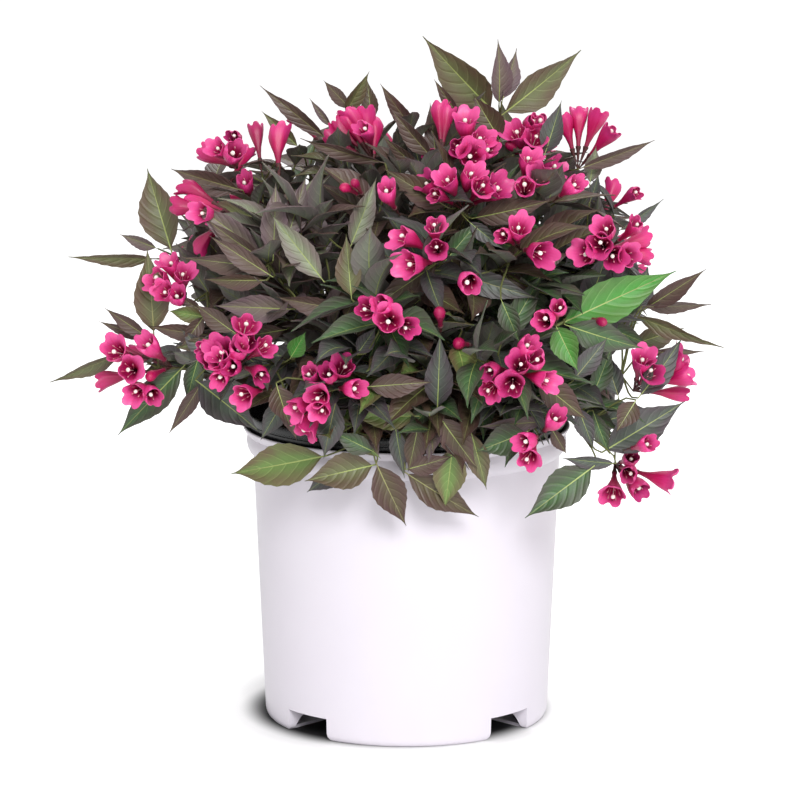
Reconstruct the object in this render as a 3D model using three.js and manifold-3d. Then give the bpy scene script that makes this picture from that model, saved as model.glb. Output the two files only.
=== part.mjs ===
// A weigela in flower, growing in a round nursery pot that stands inside a white outer pot.
// Millimetres, +Z up. The origin is the middle of the outer pot's flat underside, and azimuth 0 faces -Y, 90 faces +X.

import * as THREE from 'three';
import { mergeVertices } from 'three/addons/utils/BufferGeometryUtils.js';
import Module from 'manifold-3d';

const wasm = await Module();
wasm.setup();

// ---------------------------------------------------------------- driving dimensions

const CLEARANCE = 0.3; // between two pieces that rest on each other
const ROUND_SIDES = 36; // sides of a turned piece

const OUTER_POT = {
  height: 250,
  lipRadius: 138.5,
  grooveRadius: 134.2,
  beadRadius: 135.6,
  wallTopRadius: 129.8,
  wallFootRadius: 120.8,
  footRadius: 117.4,
  lipDrop: 7, // from the top edge down to the groove
  beadDrop: 13, // down to the widest line of the bead
  bandDrop: 24, // down to the top of the plain wall
  footRounding: 7,
  wall: 2.2,
  floor: 2.6,
};

const DRAIN_POCKET = {
  count: 4,
  firstAzimuth: 46,
  mouthWidth: 46, // at the outer wall
  backWidth: 26, // at its inner end
  depth: 31, // from the foot's edge inwards
  height: 19,
  wall: 2.2,
  holeWidth: 22,
  holeHeight: 13,
};

const INNER_POT = {
  rimAbove: 12, // how far its rim stands above the outer pot's lip
  rimRadius: 135.4,
  neckRadius: 131.2,
  floorRadius: 113,
  wall: 1.7,
  lipWall: 2.6,
};

const SOIL = {
  belowRim: 20,
  crown: 3, // how far the middle stands above the edge
  flatRadius: 32,
};

const ROOT_CROWN = {
  sides: 14,
  footRadius: 27,
  tierRadii: [23, 18, 9],
  tierHeights: [9, 22, 32],
};

const LIMB = { sides: 6, steps: 3, startRadius: 4.8, endRadius: 3.2 };
const STEM = { sides: 3, steps: 4, startRadius: 3.2, endRadius: 2.2 };
const SIDE_STEM = { sides: 3, steps: 3, startRadius: 1.4, endRadius: 1.4, from: 0.36 };
const TWIG = { sides: 3, steps: 1, startRadius: 1, endRadius: 1.15, length: 46, lean: 50 };
const FORK_GAP = 9; // between the places where side stems leave a bough, near its tip

const LEAF = { length: 84, width: 0.52, widest: 0.42, crease: -0.02, droop: 0.14, lean: 52 };
const NODE_GAP = 35; // between two pairs of leaves
const BARE_SHARE = 0.1; // of a mass's stem, from its bough
const TWIGS_A_STEM = 1;

const FLOWER_SHARE = 0.66; // of the flowers at a tip are modelled, a little larger than life
const FLOWER = { length: 46, mouthRadius: 10.4, throatDepth: 12, sides: 5, spread: 62 };
const PEDUNCLE = 9;

const LAST_PAIR = { lean: 0.68, length: 1.08 }; // beside the leaves lower on the stem
const LEAF_TRIES = { shares: [1, 0.85, 0.7, 0.56], turns: [0, 32, -32], leans: [1, 0.55, 1.35] };
const SIMPLER = 0.12; // how far a surface may move to save facets
const SPACE_MARGIN = 0.8; // a leaf keeps this far inside its mass's space
const LIMB_MARGIN = 5.5; // and this far from the middle line of another limb
const POT_MARGIN = 1.5;

// The boughs leave the root crown by its tiers, 0 the lowest, each to a tip given by azimuth, reach and height.
// Each mass has a main stem and may have a side stem: azimuth, reach and height of its tip, how steeply it rises
// there, and the flowers that it ends in.
const BOUGHS = {
  top: { tier: 2, tip: [80, 20, 352], masses: {
    top_leader: [[92, 78, 510, 80, 0], [88, 92, 462, 58, 4]],
    top_middle_bloom: [[42, 40, 480, 66, 7], [-13, 104, 436, 50, 3]],
  } },
  upper_front: { tier: 2, tip: [10, 38, 334], masses: {
    high_front_bloom: [[21, 114, 446, 45, 8], [5, 172, 405, 28, 5], [-10, 112, 360, 20, 0]],
  } },
  upper_right: { tier: 1, tip: [86, 46, 332], masses: {
    right_shoulder_bloom: [[98, 136, 464, 50, 5], [90, 162, 424, 34, 4]],
    front_shoulder_bloom: [[47, 134, 444, 42, 6], [28, 172, 408, 28, 4]],
  } },
  upper_left: { tier: 2, tip: [-80, 34, 344], masses: {
    left_crest_bloom: [[-64, 38, 476, 70, 6], [-92, 82, 462, 58, 3]],
    left_shoulder_bloom: [[-83, 120, 456, 42, 6], [-79, 152, 424, 30, 5]],
  } },
  left: { tier: 1, tip: [-62, 50, 322], masses: {
    left_side_bloom: [[-74, 172, 368, 16, 5], [-85, 188, 392, 12, 0]],
    left_front_leaves: [[-42, 168, 404, 48, 0], [-30, 138, 432, 60, 0]],
  } },
  low_left: { tier: 0, tip: [-58, 60, 298], masses: {
    low_left_bloom: [[-39, 170, 322, 4, 9], [-42, 176, 264, -34, 0]],
    far_left_bloom: [[-75, 212, 306, 2, 7]],
  } },
  front: { tier: 1, tip: [-12, 52, 310], masses: {
    front_bloom: [[-5, 196, 366, 8, 4], [4, 134, 322, 0, 0]],
    low_front_bloom: [[-17, 190, 312, 0, 7], [-10, 168, 270, -42, 0]],
  } },
  front_right: { tier: 0, tip: [20, 60, 302], masses: {
    right_front_bloom: [[23, 200, 328, 4, 8], [33, 176, 284, -40, 3]],
    front_leaves: [[8, 186, 320, 14, 0], [6, 170, 274, -42, 0]],
  } },
  right: { tier: 1, tip: [58, 54, 318], masses: {
    right_fan_bloom: [[71, 156, 402, 22, 8], [49, 190, 362, 22, 0]],
  } },
  low_right: { tier: 0, tip: [76, 60, 298], masses: {
    far_right_bloom: [[73, 186, 300, 8, 6], [93, 190, 340, 12, 0]],
    low_right_bloom: [[79, 178, 240, -48, 5], [53, 174, 266, -38, 0]],
  } },
  back_right: { tier: 0, tip: [126, 56, 310], masses: {
    back_right_high: [[140, 140, 446, 44, 5], [117, 182, 384, 22, 5]],
    back_right_low: [[130, 200, 296, -6, 5], [104, 184, 290, -20, 0]],
  } },
  back: { tier: 0, tip: [180, 54, 318], masses: {
    back_top: [[178, 110, 460, 52, 6], [180, 196, 374, 18, 6]],
    back_low: [[166, 200, 288, -12, 5], [-166, 196, 300, -8, 3]],
  } },
  back_left: { tier: 0, tip: [-124, 56, 308], masses: {
    back_left_high: [[-140, 144, 442, 44, 5], [-112, 184, 388, 22, 5]],
    back_left_low: [[-133, 204, 300, -6, 5], [-104, 186, 286, -22, 0]],
  } },
};

// ---------------------------------------------------------------- materials

const plastic = (color, roughness) => new THREE.MeshStandardMaterial({ color, roughness, metalness: 0 });
const MATERIALS = {
  outerPot: plastic(0xf1eef2, 0.35),
  innerPot: plastic(0x101112, 0.5),
  soil: plastic(0x2b1d14, 0.95),
  bark: plastic(0x5b4632, 0.85),
  leaves: plastic(0x4a4238, 0.6),
};

// ---------------------------------------------------------------- chance, the same for the same keys

function chance(...keys) {
  let mixed = 2166136261;
  for (const key of keys) {
    mixed = Math.imul(mixed ^ key, 16777619);
    mixed ^= mixed >>> 13;
    mixed = Math.imul(mixed, 1540483477);
    mixed ^= mixed >>> 15;
  }
  return (mixed >>> 0) / 4294967296;
}

const between = (low, high, ...keys) => low + (high - low) * chance(...keys);
const radians = THREE.MathUtils.degToRad;
const UP = new THREE.Vector3(0, 0, 1);

// ---------------------------------------------------------------- solids

const MERGED = 1e-3; // corners nearer than this are read as one

function bare(geometry, tolerance) {
  const plain = geometry.clone();
  plain.deleteAttribute('normal');
  plain.deleteAttribute('uv');
  return mergeVertices(plain, tolerance);
}

function solidOf(geometry) {
  const merged = bare(geometry, MERGED / 10);
  return new wasm.Manifold(new wasm.Mesh({
    numProp: 3,
    vertProperties: new Float32Array(merged.attributes.position.array),
    triVerts: new Uint32Array(merged.index.array),
  }));
}

function geometryOf(solid) {
  const { vertProperties, triVerts } = solid.getMesh();
  const geometry = new THREE.BufferGeometry();
  geometry.setAttribute('position', new THREE.BufferAttribute(vertProperties, 3));
  geometry.setIndex(new THREE.BufferAttribute(triVerts, 1));
  geometry.computeVertexNormals();
  return geometry;
}

// The largest body of a solid, without loose scraps and without hollows sealed inside it.
function wholeOf(solid) {
  return solid.decompose().reduce((best, body) => (body.volume() > best.volume() ? body : best));
}

// True if no two corners of a solid are so near each other that they would be read as one.
function isSound(solid) {
  return bare(geometryOf(solid), MERGED).attributes.position.count === solid.numVert();
}

// A closed profile of [radius, height] pairs turned round the Z axis.
function turned(profile, sides = ROUND_SIDES) {
  const points = profile.map(([radius, height]) => new THREE.Vector2(radius, height));
  return new THREE.LatheGeometry(points, sides).rotateX(Math.PI / 2);
}

function named(name, geometry, material) {
  const mesh = new THREE.Mesh(geometry, material);
  mesh.name = name;
  return mesh;
}

// ---------------------------------------------------------------- pots and soil

// The outer radius of the outer pot at a height, below its lip band.
function outerWallRadius(height) {
  const { height: top, bandDrop, wallTopRadius, wallFootRadius, footRounding } = OUTER_POT;
  const share = (height - footRounding) / (top - bandDrop - footRounding);
  return THREE.MathUtils.lerp(wallFootRadius, wallTopRadius, share);
}

function outerPotShell() {
  const p = OUTER_POT;
  const roundingSpot = [
    p.footRadius + (p.wallFootRadius - p.footRadius) * Math.sin(radians(45)),
    p.footRounding * (1 - Math.cos(radians(45))),
  ];
  const outside = [
    [p.footRadius, 0],
    roundingSpot,
    [p.wallFootRadius, p.footRounding],
    [p.wallTopRadius, p.height - p.bandDrop],
    [p.beadRadius - 1.2, p.height - p.bandDrop + 5],
    [p.beadRadius, p.height - p.beadDrop],
    [p.grooveRadius, p.height - p.lipDrop],
    [p.lipRadius, p.height],
  ];
  const inside = [
    [p.lipRadius, p.height],
    [p.grooveRadius, p.height - p.lipDrop],
    [p.wallTopRadius, p.height - p.bandDrop],
    [p.wallFootRadius, p.footRounding],
  ].map(([radius, height]) => [radius - p.wall, height]);
  return turned([[0, 0], ...outside, ...inside, [p.footRadius - p.wall, p.floor], [0, p.floor]]);
}

// A block that narrows inwards, from the middle of the pot's edge at azimuth 0.
function pocketBlock(extra, top) {
  const { mouthWidth, backWidth, depth } = DRAIN_POCKET;
  const outline = new THREE.Shape();
  const far = OUTER_POT.wallTopRadius + 10;
  const slope = (mouthWidth - backWidth) / 2 / depth;
  const back = OUTER_POT.wallFootRadius - depth - extra;
  const halfBack = backWidth / 2 + extra;
  const halfFar = halfBack + slope * (far - back);
  outline.moveTo(back, -halfBack);
  outline.lineTo(far, -halfFar);
  outline.lineTo(far, halfFar);
  outline.lineTo(back, halfBack);
  const block = new THREE.ExtrudeGeometry(outline, { depth: top + 1, bevelEnabled: false });
  return block.translate(0, 0, -1);
}

function drainHole() {
  const { holeWidth, holeHeight, depth, height, wall } = DRAIN_POCKET;
  const back = OUTER_POT.wallFootRadius - depth;
  const hole = new THREE.BoxGeometry(6 * wall, holeWidth, holeHeight);
  return hole.translate(back, 0, height - holeHeight / 2 - wall);
}

function outerPot() {
  const { count, firstAzimuth, wall, height } = DRAIN_POCKET;
  const shell = solidOf(outerPotShell());
  const filled = solidOf(turned([[0, 0], [OUTER_POT.footRadius, 0],
    [OUTER_POT.wallFootRadius, OUTER_POT.footRounding], [OUTER_POT.wallFootRadius, 60], [0, 60]]));
  let pot = shell;
  for (let i = 0; i < count; i++) {
    const turn = radians(firstAzimuth + (360 / count) * i - 90);
    const housing = solidOf(pocketBlock(wall, height + wall).rotateZ(turn));
    const pocket = solidOf(pocketBlock(0, height).rotateZ(turn));
    const hole = solidOf(drainHole().rotateZ(turn));
    pot = pot.add(housing.intersect(filled)).subtract(pocket).subtract(hole);
  }
  return named('outer_pot', geometryOf(wholeOf(pot)), MATERIALS.outerPot);
}

const innerPotFloor = DRAIN_POCKET.height + DRAIN_POCKET.wall + CLEARANCE;
const innerPotRim = OUTER_POT.height + INNER_POT.rimAbove;

function innerPotOutside() {
  const neck = OUTER_POT.height - OUTER_POT.lipDrop;
  const bandFoot = OUTER_POT.height - OUTER_POT.bandDrop;
  return [
    [INNER_POT.floorRadius, innerPotFloor],
    [outerWallRadius(bandFoot) - OUTER_POT.wall - 1, bandFoot - 2],
    [INNER_POT.neckRadius, neck],
    [INNER_POT.rimRadius - 0.8, OUTER_POT.height + 2],
    [INNER_POT.rimRadius, innerPotRim - 3],
    [INNER_POT.rimRadius - 0.6, innerPotRim],
  ];
}

function innerPot() {
  const outside = innerPotOutside();
  const inside = outside.slice().reverse().map(([radius, height], i) => [
    radius - (i < 2 ? INNER_POT.lipWall : INNER_POT.wall),
    i === outside.length - 1 ? height + INNER_POT.wall : height,
  ]);
  const profile = [[0, innerPotFloor], ...outside, ...inside, [0, innerPotFloor + INNER_POT.wall]];
  return named('inner_pot', geometryOf(solidOf(turned(profile))), MATERIALS.innerPot);
}

const soilEdge = innerPotRim - SOIL.belowRim;
const soilTop = soilEdge + SOIL.crown;

function soil() {
  const gap = INNER_POT.wall + CLEARANCE;
  const outside = innerPotOutside();
  const [floor, shoulder, neck] = outside;
  const share = (soilEdge - shoulder[1]) / (neck[1] - shoulder[1]);
  const edgeRadius = THREE.MathUtils.lerp(shoulder[0], neck[0], share) - gap;
  const profile = [
    [0, floor[1] + gap],
    [floor[0] - gap, floor[1] + gap],
    [shoulder[0] - gap, shoulder[1]],
    [edgeRadius, soilEdge],
    [(edgeRadius + SOIL.flatRadius) / 2, soilTop - 1],
    [SOIL.flatRadius, soilTop],
    [0, soilTop],
  ];
  return named('potting_soil', geometryOf(solidOf(turned(profile))), MATERIALS.soil);
}

// ---------------------------------------------------------------- root crown and boughs

const crownFoot = soilTop + CLEARANCE;

function rootCrown() {
  const { sides, footRadius, tierRadii, tierHeights } = ROOT_CROWN;
  const tiers = tierRadii.map((radius, i) => [radius, crownFoot + tierHeights[i]]);
  const top = tiers.at(-1)[1];
  const crown = turned([[0, crownFoot], [footRadius, crownFoot], ...tiers, [0, top]], sides);
  return named('root_crown', geometryOf(solidOf(crown)), MATERIALS.bark);
}

function place(azimuth, reach, height) {
  const turn = radians(azimuth);
  return new THREE.Vector3(reach * Math.sin(turn), -reach * Math.cos(turn), height);
}

// The middle and outward normal of the flat side of the root crown nearest an azimuth, on one tier.
function crownFace(tier, azimuth) {
  const { sides, footRadius, tierRadii, tierHeights } = ROOT_CROWN;
  const step = 360 / sides;
  const faceAzimuth = (Math.floor(azimuth / step) + 0.5) * step;
  const flat = Math.cos(radians(step / 2));
  const lowRadius = (tier ? tierRadii[tier - 1] : footRadius) * flat;
  const highRadius = tierRadii[tier] * flat;
  const low = place(faceAzimuth, lowRadius, crownFoot + (tier ? tierHeights[tier - 1] : 0));
  const high = place(faceAzimuth, highRadius, crownFoot + tierHeights[tier]);
  const along = high.clone().sub(low).normalize();
  const across = place(faceAzimuth + 90, 1, 0);
  return { middle: low.add(high).multiplyScalar(0.5), normal: across.cross(along).normalize() };
}

// A direction square to an axis: level where the axis leans, and a second one square to both.
function sidesOf(axis) {
  const reference = Math.abs(axis.z) < 0.95 ? UP : new THREE.Vector3(1, 0, 0);
  const level = new THREE.Vector3().crossVectors(axis, reference).normalize();
  return { level, upright: new THREE.Vector3().crossVectors(level, axis).normalize() };
}

// A cylinder bent along a curve. Its first ring lies square to startNormal, so it can rest flat on what carries it,
// and its last two rings lie parallel, so the sides between them are flat and can carry other limbs.
function bentLimb(curve, { sides, steps, startRadius, endRadius }, startNormal) {
  const geometry = new THREE.CylinderGeometry(endRadius, startRadius, 1, sides, steps);
  const position = geometry.attributes.position;
  const frames = curve.computeFrenetFrames(steps, false);
  for (let i = 0; i < position.count; i++) {
    const station = Math.round((position.getY(i) + 0.5) * steps);
    const framed = Math.min(station, steps - 1);
    let across = frames.normals[framed];
    let beside = frames.binormals[framed];
    if (station === 0 && startNormal) {
      across = across.clone().projectOnPlane(startNormal).normalize();
      beside = new THREE.Vector3().crossVectors(startNormal, across);
    }
    const spot = curve.getPointAt(station / steps)
      .addScaledVector(across, position.getZ(i))
      .addScaledVector(beside, position.getX(i));
    position.setXYZ(i, spot.x, spot.y, spot.z);
  }
  return geometry;
}

// A place on the middle line of a bent limb, which runs straight from ring to ring.
function limbPoint(curve, { steps }, share) {
  const station = Math.min(Math.floor(share * steps), steps - 1);
  return curve.getPointAt(station / steps).lerp(curve.getPointAt((station + 1) / steps), share * steps - station);
}

// A limb's middle line, from a start and its direction there to its tip, which it reaches along tipWay.
function limbCurve(start, startWay, tip, tipWay) {
  const span = start.distanceTo(tip);
  return new THREE.CubicBezierCurve3(
    start,
    start.clone().addScaledVector(startWay, span * 0.36),
    tip.clone().addScaledVector(tipWay, -span * 0.3),
    tip,
  );
}

function boughCurve({ tier, tip }) {
  const { middle, normal } = crownFace(tier, tip[0]);
  const start = middle.addScaledVector(normal, CLEARANCE);
  const end = place(...tip);
  const tipWay = end.clone().sub(start).normalize().multiplyScalar(2).add(place(tip[0], 0.5, 0.1)).normalize();
  const startWay = normal.clone().add(new THREE.Vector3(0, 0, 0.8)).normalize();
  return { curve: limbCurve(start, startWay, end, tipWay), normal };
}

// Where the k-th stem leaves a bough: the first from the middle of its end, the others from the flat side nearest
// the way that they go, a little further back each time.
function forkPlace(curve, k, tip) {
  const { sides, steps, startRadius, endRadius } = LIMB;
  const frames = curve.computeFrenetFrames(steps, false);
  const end = curve.getPointAt(1);
  const tangent = frames.tangents[steps - 1];
  if (k === 0) return { start: end.addScaledVector(tangent, CLEARANCE), normal: tangent, way: curve.getTangentAt(1) };
  const across = frames.normals[steps - 1];
  const beside = frames.binormals[steps - 1];
  const step = (2 * Math.PI) / sides;
  const wanted = tip.clone().sub(end);
  const facing = Math.atan2(wanted.dot(beside), wanted.dot(across));
  const faceAngle = (Math.floor(facing / step) + 0.5) * step;
  const sideways = across.clone().multiplyScalar(Math.cos(faceAngle)).addScaledVector(beside, Math.sin(faceAngle));
  const spanStart = curve.getPointAt(1 - 1 / steps);
  const span = spanStart.distanceTo(end);
  const share = 1 - (FORK_GAP * k - 4) / span;
  const taper = (startRadius - endRadius) / steps;
  const flat = Math.cos(step / 2);
  const radius = (endRadius + taper * (1 - share)) * flat;
  const normal = sideways.clone().addScaledVector(tangent, (taper * flat) / span).normalize();
  const start = spanStart.lerp(end, share).addScaledVector(sideways, radius).addScaledVector(normal, CLEARANCE);
  return { start, normal, way: normal.clone().multiplyScalar(0.7).addScaledVector(tangent, 0.7).normalize() };
}

function stemTo(start, startWay, [azimuth, reach, height, rise, flowers], size = STEM) {
  const tipWay = place(azimuth, Math.cos(radians(rise)), Math.sin(radians(rise)));
  return { curve: limbCurve(start, startWay, place(azimuth, reach, height), tipWay), size, flowers };
}

function sideStem(curve, side) {
  const start = limbPoint(curve, STEM, SIDE_STEM.from);
  const onward = curve.getTangentAt(SIDE_STEM.from);
  const startWay = place(...side).sub(start).normalize().add(onward).normalize();
  return stemTo(start, startWay, side, SIDE_STEM);
}

function plannedLimbs() {
  const boughs = [];
  const masses = [];
  for (const [name, bough] of Object.entries(BOUGHS)) {
    const { curve, normal } = boughCurve(bough);
    boughs.push({ name: `${name}_bough`, curve, normal });
    Object.entries(bough.masses).forEach(([massName, [main, ...sides]], k) => {
      const fork = forkPlace(curve, k, place(...main));
      const stem = stemTo(fork.start, fork.way, main);
      masses.push({
        name: massName,
        normal: fork.normal,
        stems: [stem, ...sides.map(side => sideStem(stem.curve, side))],
      });
    });
  }
  return { boughs, masses };
}

// ---------------------------------------------------------------- the space that each mass keeps to

const LINE_POINTS = 16;
const { boughs, masses } = plannedLimbs();
const massLines = masses.map(({ stems }) => stems.flatMap(({ curve }) => curve.getSpacedPoints(LINE_POINTS)));
const boughLines = boughs.map(({ curve }) => curve.getSpacedPoints(LINE_POINTS));

function distanceToLine(point, line) {
  let nearest = Infinity;
  for (const spot of line) nearest = Math.min(nearest, point.distanceToSquared(spot));
  return Math.sqrt(nearest);
}

function insidePots(point) {
  const reach = Math.hypot(point.x, point.y);
  return point.z < innerPotRim + POT_MARGIN && reach < OUTER_POT.lipRadius + POT_MARGIN;
}

// True if every point is nearer to this mass's stem than to any other's, and clear of the boughs and the pots.
function keepsToItsSpace(points, massIndex) {
  return points.every(point => {
    if (insidePots(point)) return false;
    const own = distanceToLine(point, massLines[massIndex]);
    const free = massLines.every((line, i) => i === massIndex || distanceToLine(point, line) > own + SPACE_MARGIN);
    return free && boughLines.every(line => distanceToLine(point, line) > LIMB_MARGIN);
  });
}

// ---------------------------------------------------------------- leaves, flowers and twigs

// Where a leaf lies: its root, its frame (along, across, face up) and its length.
function leafAt(root, twigWay, side, lean, length) {
  const along = twigWay.clone().multiplyScalar(Math.cos(lean)).addScaledVector(side, Math.sin(lean));
  along.z -= 0.12;
  along.normalize();
  const face = twigWay.clone().multiplyScalar(0.55).addScaledVector(UP, 0.75).projectOnPlane(along).normalize();
  return { root, along, across: new THREE.Vector3().crossVectors(face, along), face, length };
}

const leafPoint = ({ root, along, across, face, length }, forward, aside, lift) => root.clone()
  .addScaledVector(along, forward * length)
  .addScaledVector(across, aside * length)
  .addScaledVector(face, lift * length);

// A tetrahedron drawn out to a blade: its root and tip join in a keel below, and its two edges in a crease above.
function leafSolid(leaf) {
  const { width, widest, crease, droop } = LEAF;
  const corners = {
    '1,1,1': [1, 0, -droop],
    '-1,-1,1': [0, 0, 0],
    '-1,1,-1': [widest, -width / 2, crease],
    '1,-1,-1': [widest, width / 2, crease],
  };
  const blade = new THREE.TetrahedronGeometry(Math.sqrt(3));
  const position = blade.attributes.position;
  for (let i = 0; i < position.count; i++) {
    const corner = [position.getX(i), position.getY(i), position.getZ(i)].map(Math.round);
    const spot = leafPoint(leaf, ...corners[corner.join(',')]);
    position.setXYZ(i, spot.x, spot.y, spot.z);
  }
  return solidOf(blade);
}

// Places round a blade's edge and along its keel.
function leafOutline(leaf) {
  const { width, widest, crease, droop } = LEAF;
  const spots = [[0.2, 0.45], [widest, 1], [0.62, 0.66], [0.8, 0.34], [1, 0]];
  return spots.flatMap(([forward, aside]) => {
    const lift = forward < widest ? (crease * forward) / widest
      : THREE.MathUtils.mapLinear(forward, widest, 1, crease, -droop);
    return [1, -1].map(hand => leafPoint(leaf, forward, (hand * aside * width) / 2, lift));
  });
}

// The sheet that a blade lies in, from a little past its root: two triangles, and the lines round and along them.
function bladeSheet(leaf) {
  const { width, widest, crease, droop } = LEAF;
  const root = leafPoint(leaf, 0.15, 0, 0);
  const tip = leafPoint(leaf, 1, 0, -droop);
  const left = leafPoint(leaf, widest, -width / 2, crease);
  const right = leafPoint(leaf, widest, width / 2, crease);
  return {
    triangles: [[root, left, right], [tip, left, right]],
    lines: [[root, left], [left, tip], [tip, right], [right, root], [root, tip]],
  };
}

function cuts([from, to], [a, b, c]) {
  const way = to.clone().sub(from);
  const met = new THREE.Ray(from, way.clone().normalize()).intersectTriangle(a, b, c, false, new THREE.Vector3());
  return met !== null && met.distanceTo(from) < way.length();
}

const sheetCuts = (one, other) => one.lines.some(line => other.triangles.some(triangle => cuts(line, triangle)));

// True if a leaf lies clear of the leaves and flowers that its mass already has.
function liesClear(leaf, leaves, flowers) {
  const sheet = bladeSheet(leaf);
  if (leaves.some(other => sheetCuts(sheet, bladeSheet(other)) || sheetCuts(bladeSheet(other), sheet))) return false;
  const spots = leafOutline(leaf);
  return flowers.every(flower => {
    const mouth = flower.root.clone().addScaledVector(flower.along, flower.length * 0.85);
    const tube = flower.root.clone().addScaledVector(flower.along, flower.length * 0.5);
    return spots.every(spot => spot.distanceTo(mouth) > FLOWER.mouthRadius && spot.distanceTo(tube) > FLOWER.mouthRadius * 0.6);
  });
}

// A funnel with an open throat, turned from its stalk to its mouth.
function flowerSolid({ root, along, length }) {
  const { mouthRadius, throatDepth, sides } = FLOWER;
  const funnel = turned([[0, 0], [mouthRadius, length], [0, length - throatDepth]], sides);
  const turn = new THREE.Quaternion().setFromUnitVectors(UP, along);
  return solidOf(funnel.applyQuaternion(turn).translate(root.x, root.y, root.z));
}

function flowerOutline({ root, along, length }) {
  const { level, upright } = sidesOf(along);
  const mouth = root.clone().addScaledVector(along, length);
  const ring = [[1, 0], [-1, 0], [0, 1], [0, -1]].map(([a, b]) => mouth.clone()
    .addScaledVector(level, a * FLOWER.mouthRadius)
    .addScaledVector(upright, b * FLOWER.mouthRadius));
  return [mouth, root.clone().addScaledVector(along, length * 0.5), ...ring];
}

// The pair of side ways at a joint of a twig. Pairs turn a quarter each time, and flatten out on a level twig.
function pairSides(twigWay, quarter, jitter) {
  const { level, upright } = sidesOf(twigWay);
  const angle = (quarter * Math.PI) / 2 + jitter;
  const flatness = 1 - 0.5 * Math.hypot(twigWay.x, twigWay.y);
  const side = level.multiplyScalar(Math.cos(angle)).addScaledVector(upright, Math.sin(angle) * flatness).normalize();
  return [side, side.clone().negate()];
}

// A mass as it grows: its stems, their twigs, and the leaves and flowers that keep to its space.
function grownMass(massIndex) {
  const { stems, normal } = masses[massIndex];
  const grown = { wood: stems.map(({ curve, size }, i) => bentLimb(curve, size, i ? undefined : normal)), leaves: [], flowers: [] };

  const addLeaf = (root, way, side, lean, length, ...keys) => {
    const spun = lean * between(0.86, 1.14, massIndex, 31, ...keys);
    for (const share of LEAF_TRIES.shares) {
      for (const turn of LEAF_TRIES.turns) {
        for (const more of LEAF_TRIES.leans) {
          const turned = side.clone().applyAxisAngle(way, radians(turn));
          const leaf = leafAt(root, way, turned, spun * more, length * share);
          if (!keepsToItsSpace(leafOutline(leaf), massIndex) || !liesClear(leaf, grown.leaves, grown.flowers)) continue;
          grown.leaves.push(leaf);
          return;
        }
      }
    }
  };

  const addPair = (curve, size, share, quarter, lean, length, ...keys) => {
    const root = limbPoint(curve, size, share);
    const way = curve.getTangentAt(share);
    pairSides(way, quarter, between(-0.4, 0.4, massIndex, 11, ...keys)).forEach((side, hand) => {
      addLeaf(root, way, side, radians(lean), length * between(0.8, 1.14, massIndex, 12, ...keys, hand), ...keys, hand);
    });
  };

  const addFlowers = (curve, size, count, key) => {
    const axis = curve.getTangentAt(1);
    const reach = curve.getLength();
    const { level, upright } = sidesOf(axis);
    for (let i = 0; i < count; i++) {
      const tilt = radians(FLOWER.spread) * Math.sqrt((i + 0.4) / count);
      const spin = i * 2.4 + 6.28 * chance(massIndex, 41, key);
      const along = axis.clone().multiplyScalar(Math.cos(tilt))
        .addScaledVector(level, Math.sin(tilt) * Math.cos(spin))
        .addScaledVector(upright, Math.sin(tilt) * Math.sin(spin));
      const back = 2 + PEDUNCLE * chance(massIndex, 42, key, i);
      const flower = {
        root: limbPoint(curve, size, 1 - back / reach),
        along,
        length: FLOWER.length * between(0.88, 1.1, massIndex, 43, key, i),
      };
      if (keepsToItsSpace(flowerOutline(flower), massIndex)) grown.flowers.push(flower);
    }
  };

  const addTwig = (stem, key) => {
    const share = between(0.5, 0.72, massIndex, 21, key);
    const way = stem.curve.getTangentAt(share);
    const [side] = pairSides(way, 0.5, 3.14 * chance(massIndex, 22, key));
    const lean = radians(TWIG.lean);
    const twigWay = way.clone().multiplyScalar(Math.cos(lean)).addScaledVector(side, Math.sin(lean)).normalize();
    const start = limbPoint(stem.curve, stem.size, share);
    const length = TWIG.length * between(0.75, 1.15, massIndex, 23, key);
    const curve = limbCurve(start, twigWay, start.clone().addScaledVector(twigWay, length), twigWay);
    if (!keepsToItsSpace(curve.getSpacedPoints(4).slice(1), massIndex)) return;
    grown.wood.push(bentLimb(curve, TWIG));
    addPair(curve, TWIG, 0.5, 0, LEAF.lean, LEAF.length * 0.8, 60, key);
    addPair(curve, TWIG, 0.95, 1, LEAF.lean * LAST_PAIR.lean, LEAF.length * 0.9, 61, key);
  };

  stems.forEach(({ curve, size, flowers }, s) => addFlowers(curve, size, Math.ceil(flowers * FLOWER_SHARE), s));
  stems.forEach((stem, s) => {
    const { curve, size } = stem;
    const bare = s ? 0.2 : BARE_SHARE;
    const pairs = Math.max(2, Math.round((curve.getLength() * (1 - bare)) / NODE_GAP));
    for (let j = 0; j < pairs; j++) {
      const share = bare + (0.985 - bare) * ((j + 1) / pairs);
      const last = j === pairs - 1;
      const lean = LEAF.lean * (last ? LAST_PAIR.lean : 1);
      addPair(curve, size, share, j, lean, LEAF.length * (last ? LAST_PAIR.length : 1), s, j);
    }
    for (let t = 0; t < TWIGS_A_STEM; t++) addTwig(stem, s * 10 + t);
  });
  return grown;
}

// A mass in one piece. Where some of its leaves or flowers meet too finely, it goes without one or two of them.
function massMesh(massIndex) {
  const mass = masses[massIndex];
  const grown = grownMass(massIndex);
  const wood = grown.wood.map(solidOf);
  const spare = [...grown.leaves.map(leafSolid), ...grown.flowers.map(flowerSolid)];
  for (let attempt = 0; attempt < spare.length ** 2; attempt++) {
    const without = [attempt - 1, Math.floor(attempt / spare.length) - 1];
    const fused = wasm.Manifold.union([...wood, ...spare.filter((_, i) => !without.includes(i))]);
    const whole = wholeOf(fused).simplify(SIMPLER);
    if (isSound(whole)) return named(mass.name, geometryOf(whole), MATERIALS.leaves);
  }
  throw new Error(`${mass.name} can't be made in one piece`);
}

// ---------------------------------------------------------------- the whole plant in its pot

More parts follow.
